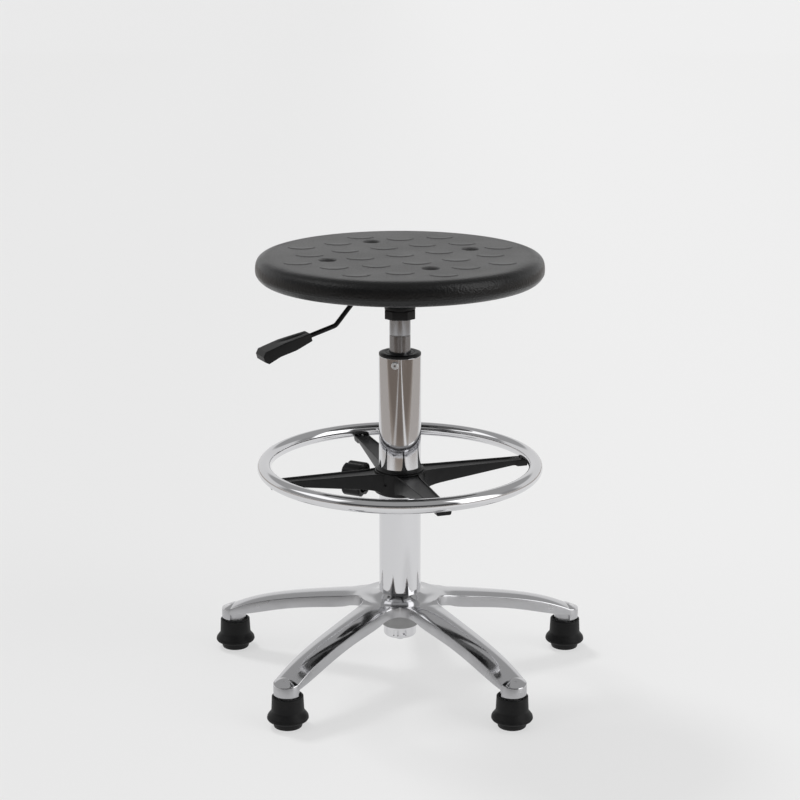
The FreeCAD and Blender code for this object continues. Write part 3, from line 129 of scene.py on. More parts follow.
def stagedSheet(name, corners, material):
    mesh = bpy.data.meshes.new(name)
    mesh.from_pydata(corners, [], [(0, 1, 2, 3)])
    mesh.materials.append(material)
    sheet = bpy.data.objects.new(name, mesh)
    bpy.context.collection.objects.link(sheet)
    return sheet


def makeFloor():
    paper = bpy.data.materials.new("mattePaper")
    paper.use_nodes = True
    tree = paper.node_tree
    shader = tree.nodes["Principled BSDF"]
    across = addNode(tree, "ShaderNodeSeparateXYZ", None,
                     {0: addNode(tree, "ShaderNodeTexCoord").outputs["Object"]}).outputs[0]
    shader.inputs["Base Color"].default_value = linear(studio["floorColour"])
    shader.inputs["Roughness"].default_value = 0.9
    shader.inputs["Specular IOR Level"].default_value = 0.1
    shader.inputs["Emission Color"].default_value = (1, 1, 1, 1)
    tree.links.new(fade(tree, across, -0.6, 0.6, *studio["floorGlow"]), shader.inputs["Emission Strength"])
    half = studio["floorSize"] * mm / 2
    stagedSheet("floor", [(-half, -half, 0), (half, -half, 0), (half, half, 0), (-half, half, 0)], paper)

    # only mirrors see this sheet: the dark floor of the room round the paper
    room = bpy.data.materials.new("roomFloor")
    room.use_nodes = True
    tree = room.node_tree
    tree.nodes.clear()
    axes = addNode(tree, "ShaderNodeSeparateXYZ", None,
                   {0: addNode(tree, "ShaderNodeTexCoord").outputs["Object"]}).outputs
    aside = calculated(tree, "ABSOLUTE", axes[0])
    front = fade(tree, axes[1], studio["paperFront"][0] * mm, studio["paperFront"][1] * mm, 0.0, 1.0)
    sides = fade(tree, aside, studio["paperSides"][0] * mm, studio["paperSides"][1] * mm, 0.0, 0.7)
    inner, innerEnd, outer, outerEnd = [place * mm for place in studio["strips"]]
    strip = window(tree, aside, inner, innerEnd, outer, outerEnd)
    strip = calculated(tree, "MULTIPLY", strip, fade(tree, axes[0], -0.1, 0.1, *studio["stripShare"]))
    front = calculated(tree, "MULTIPLY", front, calculated(tree, "SUBTRACT", 1.0, strip))
    cover = calculated(tree, "MAXIMUM", front, sides)
    near, far = studio["roomFloor"]
    far = addNode(tree, "ShaderNodeMix", {"data_type": "RGBA"}, {
        "Factor": fade(tree, axes[1], studio["farFloor"][0] * mm, studio["farFloor"][1] * mm, 0.0, 1.0),
        6: linear(near), 7: linear(far)})
    dark = addNode(tree, "ShaderNodeBsdfDiffuse", None, {"Color": far.outputs[2]})
    clear = addNode(tree, "ShaderNodeBsdfTransparent")
    mixed = addNode(tree, "ShaderNodeMixShader", None, {0: cover, 1: clear.outputs[0], 2: dark.outputs[0]})
    addNode(tree, "ShaderNodeOutputMaterial", None, {"Surface": mixed.outputs[0]})
    sheet = stagedSheet("roomFloor", [(-12, -12, 0.001), (12, -12, 0.001), (12, 9, 0.001), (-12, 9, 0.001)], room)
    for ray in ("camera", "diffuse", "transmission", "volume_scatter", "shadow"):
        setattr(sheet, "visible_" + ray, False)


def makeStudioLight():
    # the room is painted on the sky by a direction's height and its angle from the camera's side
    world = bpy.data.worlds.new("studio")
    bpy.context.scene.world = world
    world.use_nodes = True
    tree = world.node_tree
    tree.nodes.clear()
    direction = addNode(tree, "ShaderNodeTexCoord").outputs["Generated"]
    across, along, height = addNode(tree, "ShaderNodeSeparateXYZ", None, {0: direction}).outputs
    around = calculated(tree, "ARCTAN2", calculated(tree, "ABSOLUTE", across),
                        calculated(tree, "MULTIPLY", along, -1.0))
    walls = blended(tree, studio["frontWall"], studio["sideWall"], fade(tree, around, 0.75, 1.0, 0.0, 1.0))
    walls = blended(tree, walls, studio["backdrop"], fade(tree, around, 1.75, 2.0, 0.0, 1.0))
    room = blended(tree, walls, studio["ceiling"], fade(tree, height, 0.38, 0.46, 0.0, 1.0))
    left = window(tree, around, *studio["leftAround"])
    left = calculated(tree, "MULTIPLY", left, fade(tree, height, *studio["leftFoot"], 0.0, 1.0))
    left = calculated(tree, "MULTIPLY", left, fade(tree, across, -studio["middle"], studio["middle"], 1.0, 0.0))
    right = window(tree, around, *studio["rightAround"])
    right = calculated(tree, "MULTIPLY", right, fade(tree, across, -studio["middle"], studio["middle"], 0.0, 1.0))
    belowTop = fade(tree, height, *studio["boxTop"], 1.0, 0.0)
    strength = blended(tree, room, studio["leftBox"], calculated(tree, "MULTIPLY", left, belowTop))
    strength = blended(tree, strength, studio["rightBox"], calculated(tree, "MULTIPLY", right, belowTop))
    light = addNode(tree, "ShaderNodeBackground", None, {"Strength": strength})
    addNode(tree, "ShaderNodeOutputWorld", None, {"Surface": light.outputs[0]})
    # a soft key from behind on the left draws the column's and the legs' shadows on the floor
    data = bpy.data.lights.new("key", "SUN")
    data.energy = studio["key"]
    data.angle = math.radians(13)
    key = bpy.data.objects.new("key", data)
    key.rotation_euler = (math.radians(-36), 0, math.radians(40))
    key.visible_glossy = False
    bpy.context.collection.objects.link(key)
    bpy.context.scene.view_settings.view_transform = "Standard"


makeCamera()
makeFloor()
makeStudioLight()
print("camera and studio made")


# ---- materials: each named for its real finish; the underside's darker grey also carries painted shade

def startMaterial(name, colour, metallic, roughness):
    material = bpy.data.materials.new(name)
    material.use_nodes = True
    tree = material.node_tree
    tree.nodes.clear()
    shader = addNode(tree, "ShaderNodeBsdfPrincipled", None,
                     {"Base Color": linear(colour), "Metallic": metallic, "Roughness": roughness})
    addNode(tree, "ShaderNodeOutputMaterial", None, {"Surface": shader.outputs[0]})
    place = addNode(tree, "ShaderNodeTexCoord").outputs["Object"]
    return material, tree, shader, place


def perMetre(size):
    # a texture scale from the real spacing of its pattern in millimetres
    return 1 / (size * mm)


def skinFoam(name):
    # self-skinning polyurethane foam: a tough black hide, finely grained and dull on top,
    # pebbled and glossier where the mould's polished rim shaped it
    material, tree, shader, place = startMaterial(name, "#2b2b2b", 0.0, 0.5)
    axes = addNode(tree, "ShaderNodeSeparateXYZ", None, {0: place}).outputs
    flat = addNode(tree, "ShaderNodeCombineXYZ", None, {0: axes[0], 1: axes[1]})
    reach = addNode(tree, "ShaderNodeVectorMath", {"operation": "LENGTH"},
                    {0: flat.outputs[0]}).outputs["Value"]
    onRim = fade(tree, reach, 0.158, 0.172, 0.0, 1.0)
    pebble = addNode(tree, "ShaderNodeTexVoronoi", {"feature": "SMOOTH_F1"},
                     {"Vector": place, "Scale": perMetre(2.3), "Smoothness": 0.5})
    fine = addNode(tree, "ShaderNodeTexNoise", None, {"Vector": place, "Scale": perMetre(1.4), "Detail": 3.0})
    grain = blended(tree, fine.outputs[0], pebble.outputs["Distance"],
                    fade(tree, reach, 0.15, 0.172, 0.15, 0.75))
    bump = addNode(tree, "ShaderNodeBump", None, {
        "Height": grain, "Strength": 1.0,
        "Distance": fade(tree, reach, 0.15, 0.172, 0.14 * mm, 0.42 * mm)})
    tree.links.new(bump.outputs[0], shader.inputs["Normal"])
    # handling leaves slightly shinier and duller areas a hand's width across
    handled = addNode(tree, "ShaderNodeTexNoise", None, {"Vector": place, "Scale": perMetre(70), "Detail": 2.0})
    uneven = fade(tree, handled.outputs[0], 0.3, 0.7, -0.05, 0.05)
    gloss = calculated(tree, "ADD", uneven, fade(tree, reach, 0.158, 0.172, 0.58, 0.32))
    tree.links.new(gloss, shader.inputs["Roughness"])
    tree.links.new(fade(tree, reach, 0.158, 0.172, 0.5, 0.36), shader.inputs["Specular IOR Level"])
    # painted sheen and shade: the black top is painted mid grey for the sheen it catches when seen at a grazing
    # angle, while the rim stays near black. Both are painted darker in the grain's valleys and the pebbles' hollows
    # as painted shade
    top = addNode(tree, "ShaderNodeMix", {"data_type": "RGBA"},
                  {"Factor": fine.outputs[0], 6: linear("#282828"), 7: linear("#7e7e7e")})
    rim = addNode(tree, "ShaderNodeMix", {"data_type": "RGBA"},
                  {"Factor": pebble.outputs["Distance"], 6: linear("#070708"), 7: linear("#131314")})
    shade = addNode(tree, "ShaderNodeMix", {"data_type": "RGBA"},
                    {"Factor": onRim, 6: top.outputs[2], 7: rim.outputs[2]})
    tree.links.new(shade.outputs[2], shader.inputs["Base Color"])
    return material


def platedSteel(name, colour, roughness, drawnSize, drawnShare):
    # chromium plate over drawn tube: mirror-like, with faint lines along the tube left by drawing
    material, tree, shader, place = startMaterial(name, colour, 1.0, roughness)
    stretched = addNode(tree, "ShaderNodeMapping", None, {"Vector": place, "Scale": (1.0, 1.0, 0.03)})
    lines = addNode(tree, "ShaderNodeTexNoise", None,
                    {"Vector": stretched.outputs[0], "Scale": perMetre(drawnSize), "Detail": 3.0})
    gloss = addNode(tree, "ShaderNodeMapRange", None, {
        "Value": lines.outputs[0], "From Min": 0.3, "From Max": 0.7,
        "To Min": roughness * 0.7, "To Max": roughness * 1.3})
    tree.links.new(gloss.outputs[0], shader.inputs["Roughness"])
    bump = addNode(tree, "ShaderNodeBump", None,
                   {"Height": lines.outputs[0], "Strength": drawnShare, "Distance": 0.01 * mm})
    tree.links.new(bump.outputs[0], shader.inputs["Normal"])
    return material


def castAluminium(name, colour, roughness, grainSize, grainDepth):
    # pressure die-cast aluminium, buffed on top and blasted on the sides
    material, tree, shader, place = startMaterial(name, colour, 1.0, roughness)
    skin = addNode(tree, "ShaderNodeTexNoise", None,
                   {"Vector": place, "Scale": perMetre(grainSize), "Detail": 4.0})
    cloud = addNode(tree, "ShaderNodeTexNoise", None, {"Vector": place, "Scale": perMetre(26), "Detail": 3.0})
    gloss = addNode(tree, "ShaderNodeMapRange", None, {
        "Value": cloud.outputs[0], "From Min": 0.3, "From Max": 0.7,
        "To Min": roughness * 0.75, "To Max": roughness * 1.3})
    tree.links.new(gloss.outputs[0], shader.inputs["Roughness"])
    bump = addNode(tree, "ShaderNodeBump", None,
                   {"Height": skin.outputs[0], "Strength": 0.3, "Distance": grainDepth * mm})
    tree.links.new(bump.outputs[0], shader.inputs["Normal"])
    return material


def mouldedBlack(name, colour, roughness, grainSize, grainDepth, wornColour):
    # black plastic, rubber or powder coat: a fine moulded or sprayed texture, greyer where it is rubbed
    material, tree, shader, place = startMaterial(name, colour, 0.0, roughness)
    shader.inputs["Specular IOR Level"].default_value = 0.25
    grain = addNode(tree, "ShaderNodeTexNoise", None,
                    {"Vector": place, "Scale": perMetre(grainSize), "Detail": 2.0})
    bump = addNode(tree, "ShaderNodeBump", None,
                   {"Height": grain.outputs[0], "Strength": 0.8, "Distance": grainDepth * mm})
    tree.links.new(bump.outputs[0], shader.inputs["Normal"])
    rubbed = addNode(tree, "ShaderNodeTexNoise", None, {"Vector": place, "Scale": perMetre(14), "Detail": 4.0})
    share = addNode(tree, "ShaderNodeMapRange", None, {
        "Value": rubbed.outputs[0], "From Min": 0.45, "From Max": 0.75, "To Min": 0.0, "To Max": 0.7})
    shade = addNode(tree, "ShaderNodeMix", {"data_type": "RGBA"}, {
        "Factor": share.outputs[0], 6: linear(colour), 7: linear(wornColour)})
    tree.links.new(shade.outputs[2], shader.inputs["Base Color"])
    return material


def turnedMetal(name, colour, roughness, lineSize):
    # zinc-plated, ground or turned metal with a soft mottle
    material, tree, shader, place = startMaterial(name, colour, 1.0, roughness)
    lines = addNode(tree, "ShaderNodeTexNoise", None,
                    {"Vector": place, "Scale": perMetre(lineSize), "Detail": 4.0})
    gloss = addNode(tree, "ShaderNodeMapRange", None, {
        "Value": lines.outputs[0], "From Min": 0.3, "From Max": 0.7,
        "To Min": roughness * 0.7, "To Max": roughness * 1.4})
    tree.links.new(gloss.outputs[0], shader.inputs["Roughness"])
    return material


def birchPly(name):
    # birch veneer: pale bands along the grain
    material, tree, shader, place = startMaterial(name, "#c9a878", 0.0, 0.6)
    stretched = addNode(tree, "ShaderNodeMapping", None, {"Vector": place, "Scale": (0.1, 1.0, 1.0)})
    bands = addNode(tree, "ShaderNodeTexNoise", None,
                    {"Vector": stretched.outputs[0], "Scale": perMetre(3), "Detail": 4.0})
    shade = addNode(tree, "ShaderNodeMix", {"data_type": "RGBA"}, {
        "Factor": bands.outputs[0], 6: linear("#b08d5d"), 7: linear("#dcc196")})
    tree.links.new(shade.outputs[2], shader.inputs["Base Color"])
    return material


finish = {
    "seatSkin": skinFoam("polyurethaneSkin"),
    "brightChrome": platedSteel("brightChromePlate", "#dcdcde", 0.055, 1.2, 0.25),
    "satinChrome": platedSteel("satinChromePlate", "#9a9a9c", 0.17, 0.5, 0.12),
    "polishedAluminium": castAluminium("buffedCastAluminium", "#d6d6d8", 0.11, 3.0, 0.02),
    "satinAluminium": castAluminium("blastedCastAluminium", "#bcbcbe", 0.34, 0.7, 0.06),
    "nylon": mouldedBlack("glassFilledNylon", "#0d0d0e", 0.40, 0.7, 0.05, "#171718"),
    "abs": mouldedBlack("texturedAbs", "#0f0f10", 0.40, 0.5, 0.05, "#19191a"),
    "powderCoat": mouldedBlack("blackPowderCoat", "#0f0f10", 0.36, 0.9, 0.05, "#161617"),
    "rubber": mouldedBlack("mouldedRubber", "#0e0e0f", 0.52, 0.8, 0.06, "#1b1b1b"),
    # the underside's darker grey is partly the raw casting's own tone and partly painted shade, for the shadow
    # under the web and inside the legs
    "castUndersideAndPaintedShade": castAluminium("blastedUndersideAndPaintedShade", "#9a9a9a", 0.5, 0.9, 0.1),
    "zinc": turnedMetal("zincPlatedSteel", "#d4d5d6", 0.42, 1.5),
    "groundSteel": turnedMetal("groundSteel", "#c2c3c6", 0.15, 0.6),
    "brass": turnedMetal("turnedBrass", "#c8a35a", 0.25, 0.6),
    "plywood": birchPly("birchPlywood"),
}
slotFinish = {
    "seat_foam": "seatSkin", "plywood": "plywood", "zinc_steel": "zinc", "painted_steel": "powderCoat",
    "black_plastic": "abs", "black_nylon": "nylon", "satin_chrome": "satinChrome",
    "bright_chrome": "brightChrome", "polished_aluminium": "satinAluminium", "foot_rubber": "rubber",
    "brass": "brass", "bearing_steel": "groundSteel",
}


def finishCadNodes():
    for part in frame["record"]["subparts"]:
        mesh = frame["nodes"][part["node"]].data
        mesh.materials.clear()
        mesh.materials.append(finish[slotFinish[part["material_slot"]]])


finishCadNodes()
print("materials made")


# ---- surfaces: grids of points in millimetres, joined and welded into closed pieces

def gridFaces(rows, columns, closed=False):
    # the quads between neighbours of a rows by columns grid, closed across its columns if asked
    row = np.arange(rows - 1)[:, None]
    column = np.arange(columns if closed else columns - 1)[None, :]
    first = row * columns + column
    second = row * columns + (column + 1) % columns
    return np.stack([first, second, second + columns, first + columns], -1).reshape(-1, 4)


def surface(points, closed=False, look=0):
    # a grid of points as a part: its vertices, its faces and which finish they take
    return points.reshape(-1, 3), gridFaces(points.shape[0], points.shape[1], closed), look


def turned(profile, segments=192, look=0, turn=0.0):
    # radius and height along the profile, carried round the upright axis
    radius, height = np.asarray(profile, float).T[:, :, None]
    angle = np.linspace(0, fullTurn, segments, endpoint=False)[None, :] + turn
    return surface(np.stack([radius * np.cos(angle), radius * np.sin(angle), height + 0 * angle], -1), True, look)


def roundedLine(corners, steps=6):
    # straight runs between (x, y, radius) corners, each corner a tangent arc of its radius
    line = []
    for index, (x, y, radius) in enumerate(corners):
        here = np.array([x, y], float)
        if radius == 0 or index in (0, len(corners) - 1):
            line.append(here)
            continue
        before = np.array(corners[index - 1][:2], float) - here
        after = np.array(corners[index + 1][:2], float) - here
        before, after = before / np.hypot(*before), after / np.hypot(*after)
        half = math.acos(np.clip(before @ after, -1, 1)) / 2
        lead = radius / math.tan(half)
        middle = (before + after) / np.hypot(*(before + after)) * radius / math.sin(half)
        start, end = before * lead - middle, after * lead - middle
        share = np.linspace(0, 1, steps + 1)[:, None]
        sweep = math.pi - 2 * half
        arc = (np.sin((1 - share) * sweep) * start + np.sin(share * sweep) * end) / math.sin(sweep)
        line.extend(here + middle + arc)
    return np.array(line)


def smoothStep(value, start, end):
    share = np.clip((value - start) / (end - start), 0, 1)
    return share * share * (3 - 2 * share)


def aimed(points, angle, height=0.0):
    # points given as (outwards, sideways, up) set at a plan angle and a height
    out, side, up = np.moveaxis(points, -1, 0)
    cos, sin = math.cos(math.radians(angle)), math.sin(math.radians(angle))
    return np.stack([out * cos - side * sin, out * sin + side * cos, up + height], -1)


def moved(part, change):
    points, faces, look = part
    return change(points), faces, look


def drawnIn(points, share):
    # the plan shrinks towards the axis by each point's share, and heights stay
    return points * np.stack([share, share, np.ones(len(points))], -1)


def makePiece(name, body, replaced, parts, looks, sharpAngle=32):
    starts = np.cumsum([0] + [len(points) for points, _, _ in parts])
    faces = [face for (_, group, _), start in zip(parts, starts) for face in (np.asarray(group) + start).tolist()]
    marks = np.concatenate([np.full(len(group), look, np.int32) for _, group, look in parts])
    mesh = bpy.data.meshes.new(name)
    mesh.from_pydata(np.concatenate([points for points, _, _ in parts]) * mm, [], faces)
    mesh.polygons.foreach_set("material_index", marks)
    builder = bmesh.new()
    builder.from_mesh(mesh)
    bmesh.ops.remove_doubles(builder, verts=builder.verts, dist=0.004 * mm)
    bmesh.ops.dissolve_degenerate(builder, edges=builder.edges, dist=0.002 * mm)
    bmesh.ops.recalc_face_normals(builder, faces=builder.faces)
    builder.to_mesh(mesh)
    builder.free()
    mesh.shade_smooth()
    mesh.set_sharp_from_angle(angle=math.radians(sharpAngle))
    for look in looks:
        mesh.materials.append(finish[look])
    piece = bpy.data.objects.new(name, mesh)
    bpy.context.collection.objects.link(piece)
    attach(piece, body)
    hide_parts(*replaced)
    print("made", name, len(mesh.polygons), "faces")
    return piece


# ---- seat: a moulded disc with raised scales, four screw wells and a full round rim

seat = {
    "top": 548.5, "bottom": 517.8, "radius": 180.0,
    "flatRadius": 162.0, "rimDrop": 18.6, "rimPower": 2.9,
    "underWidth": 11.0, "underPower": 1.7,
    "wellCircle": 96.0, "wellTurn": 22.5, "wellMouth": 13.6, "wellBore": 10.0, "wellFloor": 530.9,
    "scaleRadius": 18.5, "scaleLift": 0.9, "scaleEdge": 0.28, "scaleSweep": 78.0,
    # circles of scales: radius, angle of the first, how many
    "scaleRings": [(0.0, 0.0, 1), (52.8, 22.5, 4), (74.5, 67.5, 4), (112.0, 0.0, 8), (134.5, 22.5, 8)],
    "pointSpacing": 3.2, "rimSegments": 360, "wellSegments": 48,
}


def ringPlaces(radius, first, count):
    angle = np.radians(first + 360 / count * np.arange(count))
    return np.stack([radius * np.cos(angle), radius * np.sin(angle)], -1)


scaleCentres = np.concatenate([ringPlaces(*ring) for ring in seat["scaleRings"]])
wellCentres = ringPlaces(seat["wellCircle"], seat["wellTurn"], 4)


def scaleLift(plan):
    # each scale climbs from its middle to its front rim, then drops in a short step
    # with a faint groove at its foot; the rim fades out towards its sides
    rise = np.zeros(len(plan))
    radius, edge = seat["scaleRadius"], seat["scaleEdge"]
    for centre in scaleCentres:
        across, along = (plan - centre).T
        distance = np.hypot(across, along)
        fromFront = np.degrees(np.abs(np.arctan2(across, -along)))
        window = 1 - smoothStep(fromFront, seat["scaleSweep"] - 16, seat["scaleSweep"] + 5)
        climb = smoothStep(distance, 2.0, radius)
        inside = 1 - smoothStep(distance, radius - edge, radius + edge)
        groove = np.exp(-((distance - radius - 2 * edge) / edge) ** 2)
        rise += window * (seat["scaleLift"] * climb * inside - 0.12 * groove)
    return rise


def seatTopPart():
    # points follow the scales' rims closely and fill the rest evenly, then are triangulated
    arc = np.radians(-90 + np.linspace(-seat["scaleSweep"] - 6, seat["scaleSweep"] + 6, 56))
    reach = seat["scaleRadius"] + seat["scaleEdge"] * np.array([-14, -7, -3, -1, -0.3, 0.4, 1, 2, 3.2, 6])
    rim = np.stack(np.broadcast_arrays(reach[:, None] * np.cos(arc), reach[:, None] * np.sin(arc)), -1)
    rim = rim.reshape(-1, 2)
    scalePoints = (scaleCentres[:, None, :] + rim[None, :, :]).reshape(-1, 2)
    step = seat["pointSpacing"]
    count = int(seat["flatRadius"] / step) + 2
    column, row = np.meshgrid(np.arange(-count, count), np.arange(-count, count))
    fill = np.stack([(column + row % 2 / 2) * step, row * step * 0.866], -1).reshape(-1, 2)
    fill = fill[np.hypot(*fill.T) < seat["flatRadius"] - step / 2]
    nearest = np.abs(np.linalg.norm(fill[:, None] - scaleCentres[None], axis=2) - seat["scaleRadius"]).min(1)
    fill = fill[nearest > step * 0.8]
    wells = [centre + ringPlaces(seat["wellMouth"], 0, seat["wellSegments"]) for centre in wellCentres]
    edge = ringPlaces(seat["flatRadius"], 0, seat["rimSegments"])
    loose = np.concatenate([scalePoints, fill])
    clear = np.linalg.norm(loose[:, None] - wellCentres[None], axis=2).min(1) > seat["wellMouth"] + 0.8
    loose = loose[clear & (np.hypot(*loose.T) < seat["flatRadius"] - 0.8)]
    loops = wells + [edge]
    starts = np.cumsum([0] + [len(loop) for loop in loops])
    edges = [(int(start + i), int(start + (i + 1) % len(loop))) for loop, start in zip(loops, starts)
             for i in range(len(loop))]
    plan = np.concatenate(loops + [loose])
    found = delaunay_2d_cdt(plan.tolist(), edges, [], 0, 1e-5)
    plan = np.array([tuple(point) for point in found[0]])
    faces = np.array(found[2])
    middle = plan[faces].mean(1)
    faces = faces[np.linalg.norm(middle[:, None] - wellCentres[None], axis=2).min(1) > seat["wellMouth"] - 0.05]
    return np.column_stack([plan, seat["top"] + scaleLift(plan)]), faces, 0


def seatParts():
    parts = [seatTopPart()]
    # rim: a superellipse from the flat down to the widest line, and a smaller one under it
    quarter = np.linspace(0, math.pi / 2, 30)
    width = seat["radius"] - seat["flatRadius"]
    widest = seat["top"] - seat["rimDrop"]
    power = 2 / seat["rimPower"]
    upper = np.stack([seat["flatRadius"] + width * np.sin(quarter) ** power,
                      widest + seat["rimDrop"] * np.cos(quarter) ** power], -1)
    power = 2 / seat["underPower"]
    drop = widest - seat["bottom"]
    lower = np.stack([seat["radius"] - seat["underWidth"] * (1 - np.cos(quarter) ** power),
                      widest - drop * np.sin(quarter) ** power], -1)[1:]
    # the mould's parting line is a fine ridge below the widest line
    lower[:, 0] += 0.3 * np.exp(-((lower[:, 1] - widest + 3.0) / 0.5) ** 2)
    under = roundedLine([(seat["radius"] - seat["underWidth"], seat["bottom"], 0), (152, seat["bottom"], 0.8),
                         (151, seat["bottom"] + 1.2, 0.8), (147, seat["bottom"] + 1.2, 0.8),
                         (146, seat["bottom"], 0.8), (0, seat["bottom"], 0)], 3)[1:]
    parts.append(turned(np.concatenate([upper, lower, under]), seat["rimSegments"]))
    # wells: a rounded mouth, a slightly tapering wall and a flat floor
    well = roundedLine([(seat["wellMouth"], seat["top"], 0), (seat["wellBore"] + 0.6, seat["top"], 2.4),
                        (seat["wellBore"], seat["wellFloor"], 0.8), (0, seat["wellFloor"], 0)], 8)
    for centre in wellCentres:
        shift = np.append(centre, 0)
        parts.append(moved(turned(well, seat["wellSegments"]), lambda points: points + shift))
    return parts


seatPiece = makePiece("seat_skin", "seat", ["seat_pad"], seatParts(), ["seatSkin"], 48)


# ---- cast base: five crowned legs that flow into the hub, hollow underneath

base = {
    "seam": 26.75, "seamHeight": 107.0, "webHeight": 101.5, "filletEnd": 46.0,
    "crotch": 52.0, "crotchRadius": 23.2, "webLow": 88.0,
    "foot": 232.5, "tipRadius": 17.3, "tipLow": 42.4, "tipCrease": 58.0, "tipSink": 2.5,
    # along a leg: distance from the axis, roof, crease, lower edge, half width
    "stations": np.array([
        (62, 100.5, 98.0, 84.0, 21.5), (97, 96.0, 93.2, 78.0, 19.2), (130, 90.6, 87.6, 73.0, 18.4),
        (165, 84.0, 80.8, 66.0, 17.9), (199, 75.2, 71.6, 57.0, 17.5), (232.5, 62.0, 58.0, 50.2, 17.3)]),
    "edgeWidth": 1.3, "wall": 4.0, "roofThickness": 5.0,
    "bossRadius": 24.0, "bossLow": 61.0, "columnRadius": 22.0,
    "legs": 5, "firstLeg": 90.0, "across": 20,
}


def legCurve(column):
    # a smooth quartic through the stations
    return np.poly1d(np.polyfit(base["stations"][:, 0], base["stations"][:, column], 4))


legRoof, legCrease, legLow, legHalf = [legCurve(column) for column in (1, 2, 3, 4)]


def hubRise(radius):
    # the hub sweeps up to the column in a hollow fillet
    share = np.clip((base["filletEnd"] - radius) / (base["filletEnd"] - base["seam"]), 0, 1)
    return share ** 2.4


def legOutline():
    # one side of a leg from the column's seam to the tip, with the point on the leg's middle
    # line that each outline point faces, and which stretch of the leg it is on
    bisector = math.radians(180 / base["legs"])
    web = np.linspace(base["seam"], base["crotch"], 16)
    centre = (base["crotch"] + base["crotchRadius"]) * np.array([math.cos(bisector), math.sin(bisector)])
    slope = math.atan2(legHalf(97) - legHalf(62), 35)
    sweep = np.linspace(bisector + math.pi, 1.5 * math.pi + slope, 22)[1:]
    arc = centre + base["crotchRadius"] * np.stack([np.cos(sweep), np.sin(sweep)], -1)
    run = np.concatenate([np.linspace(arc[-1, 0], 226, 56)[1:], [229.5, base["foot"] - 0.15]])
    tip = np.linspace(math.pi / 2, 0, 21)
    # the side starts where the crotch's arc ends and eases onto the leg's own width
    width = legHalf(run) + (arc[-1, 1] - legHalf(arc[-1, 0])) * (1 - smoothStep(run, arc[-1, 0], arc[-1, 0] + 30))
    outline = np.concatenate([
        np.stack([web * math.cos(bisector), web * math.sin(bisector)], -1),
        arc,
        np.stack([run, width], -1),
        np.stack([base["foot"] + base["tipRadius"] * np.cos(tip), base["tipRadius"] * np.sin(tip)], -1)])
    stretch = np.repeat(["web", "crotch", "side", "tip"], [len(web), len(arc), len(run), len(tip)])
    middle = np.concatenate([
        web, np.linspace(base["crotch"], arc[-1, 0], len(arc) + 1)[1:], run, np.full(len(tip), base["foot"])])
    return outline, middle, stretch


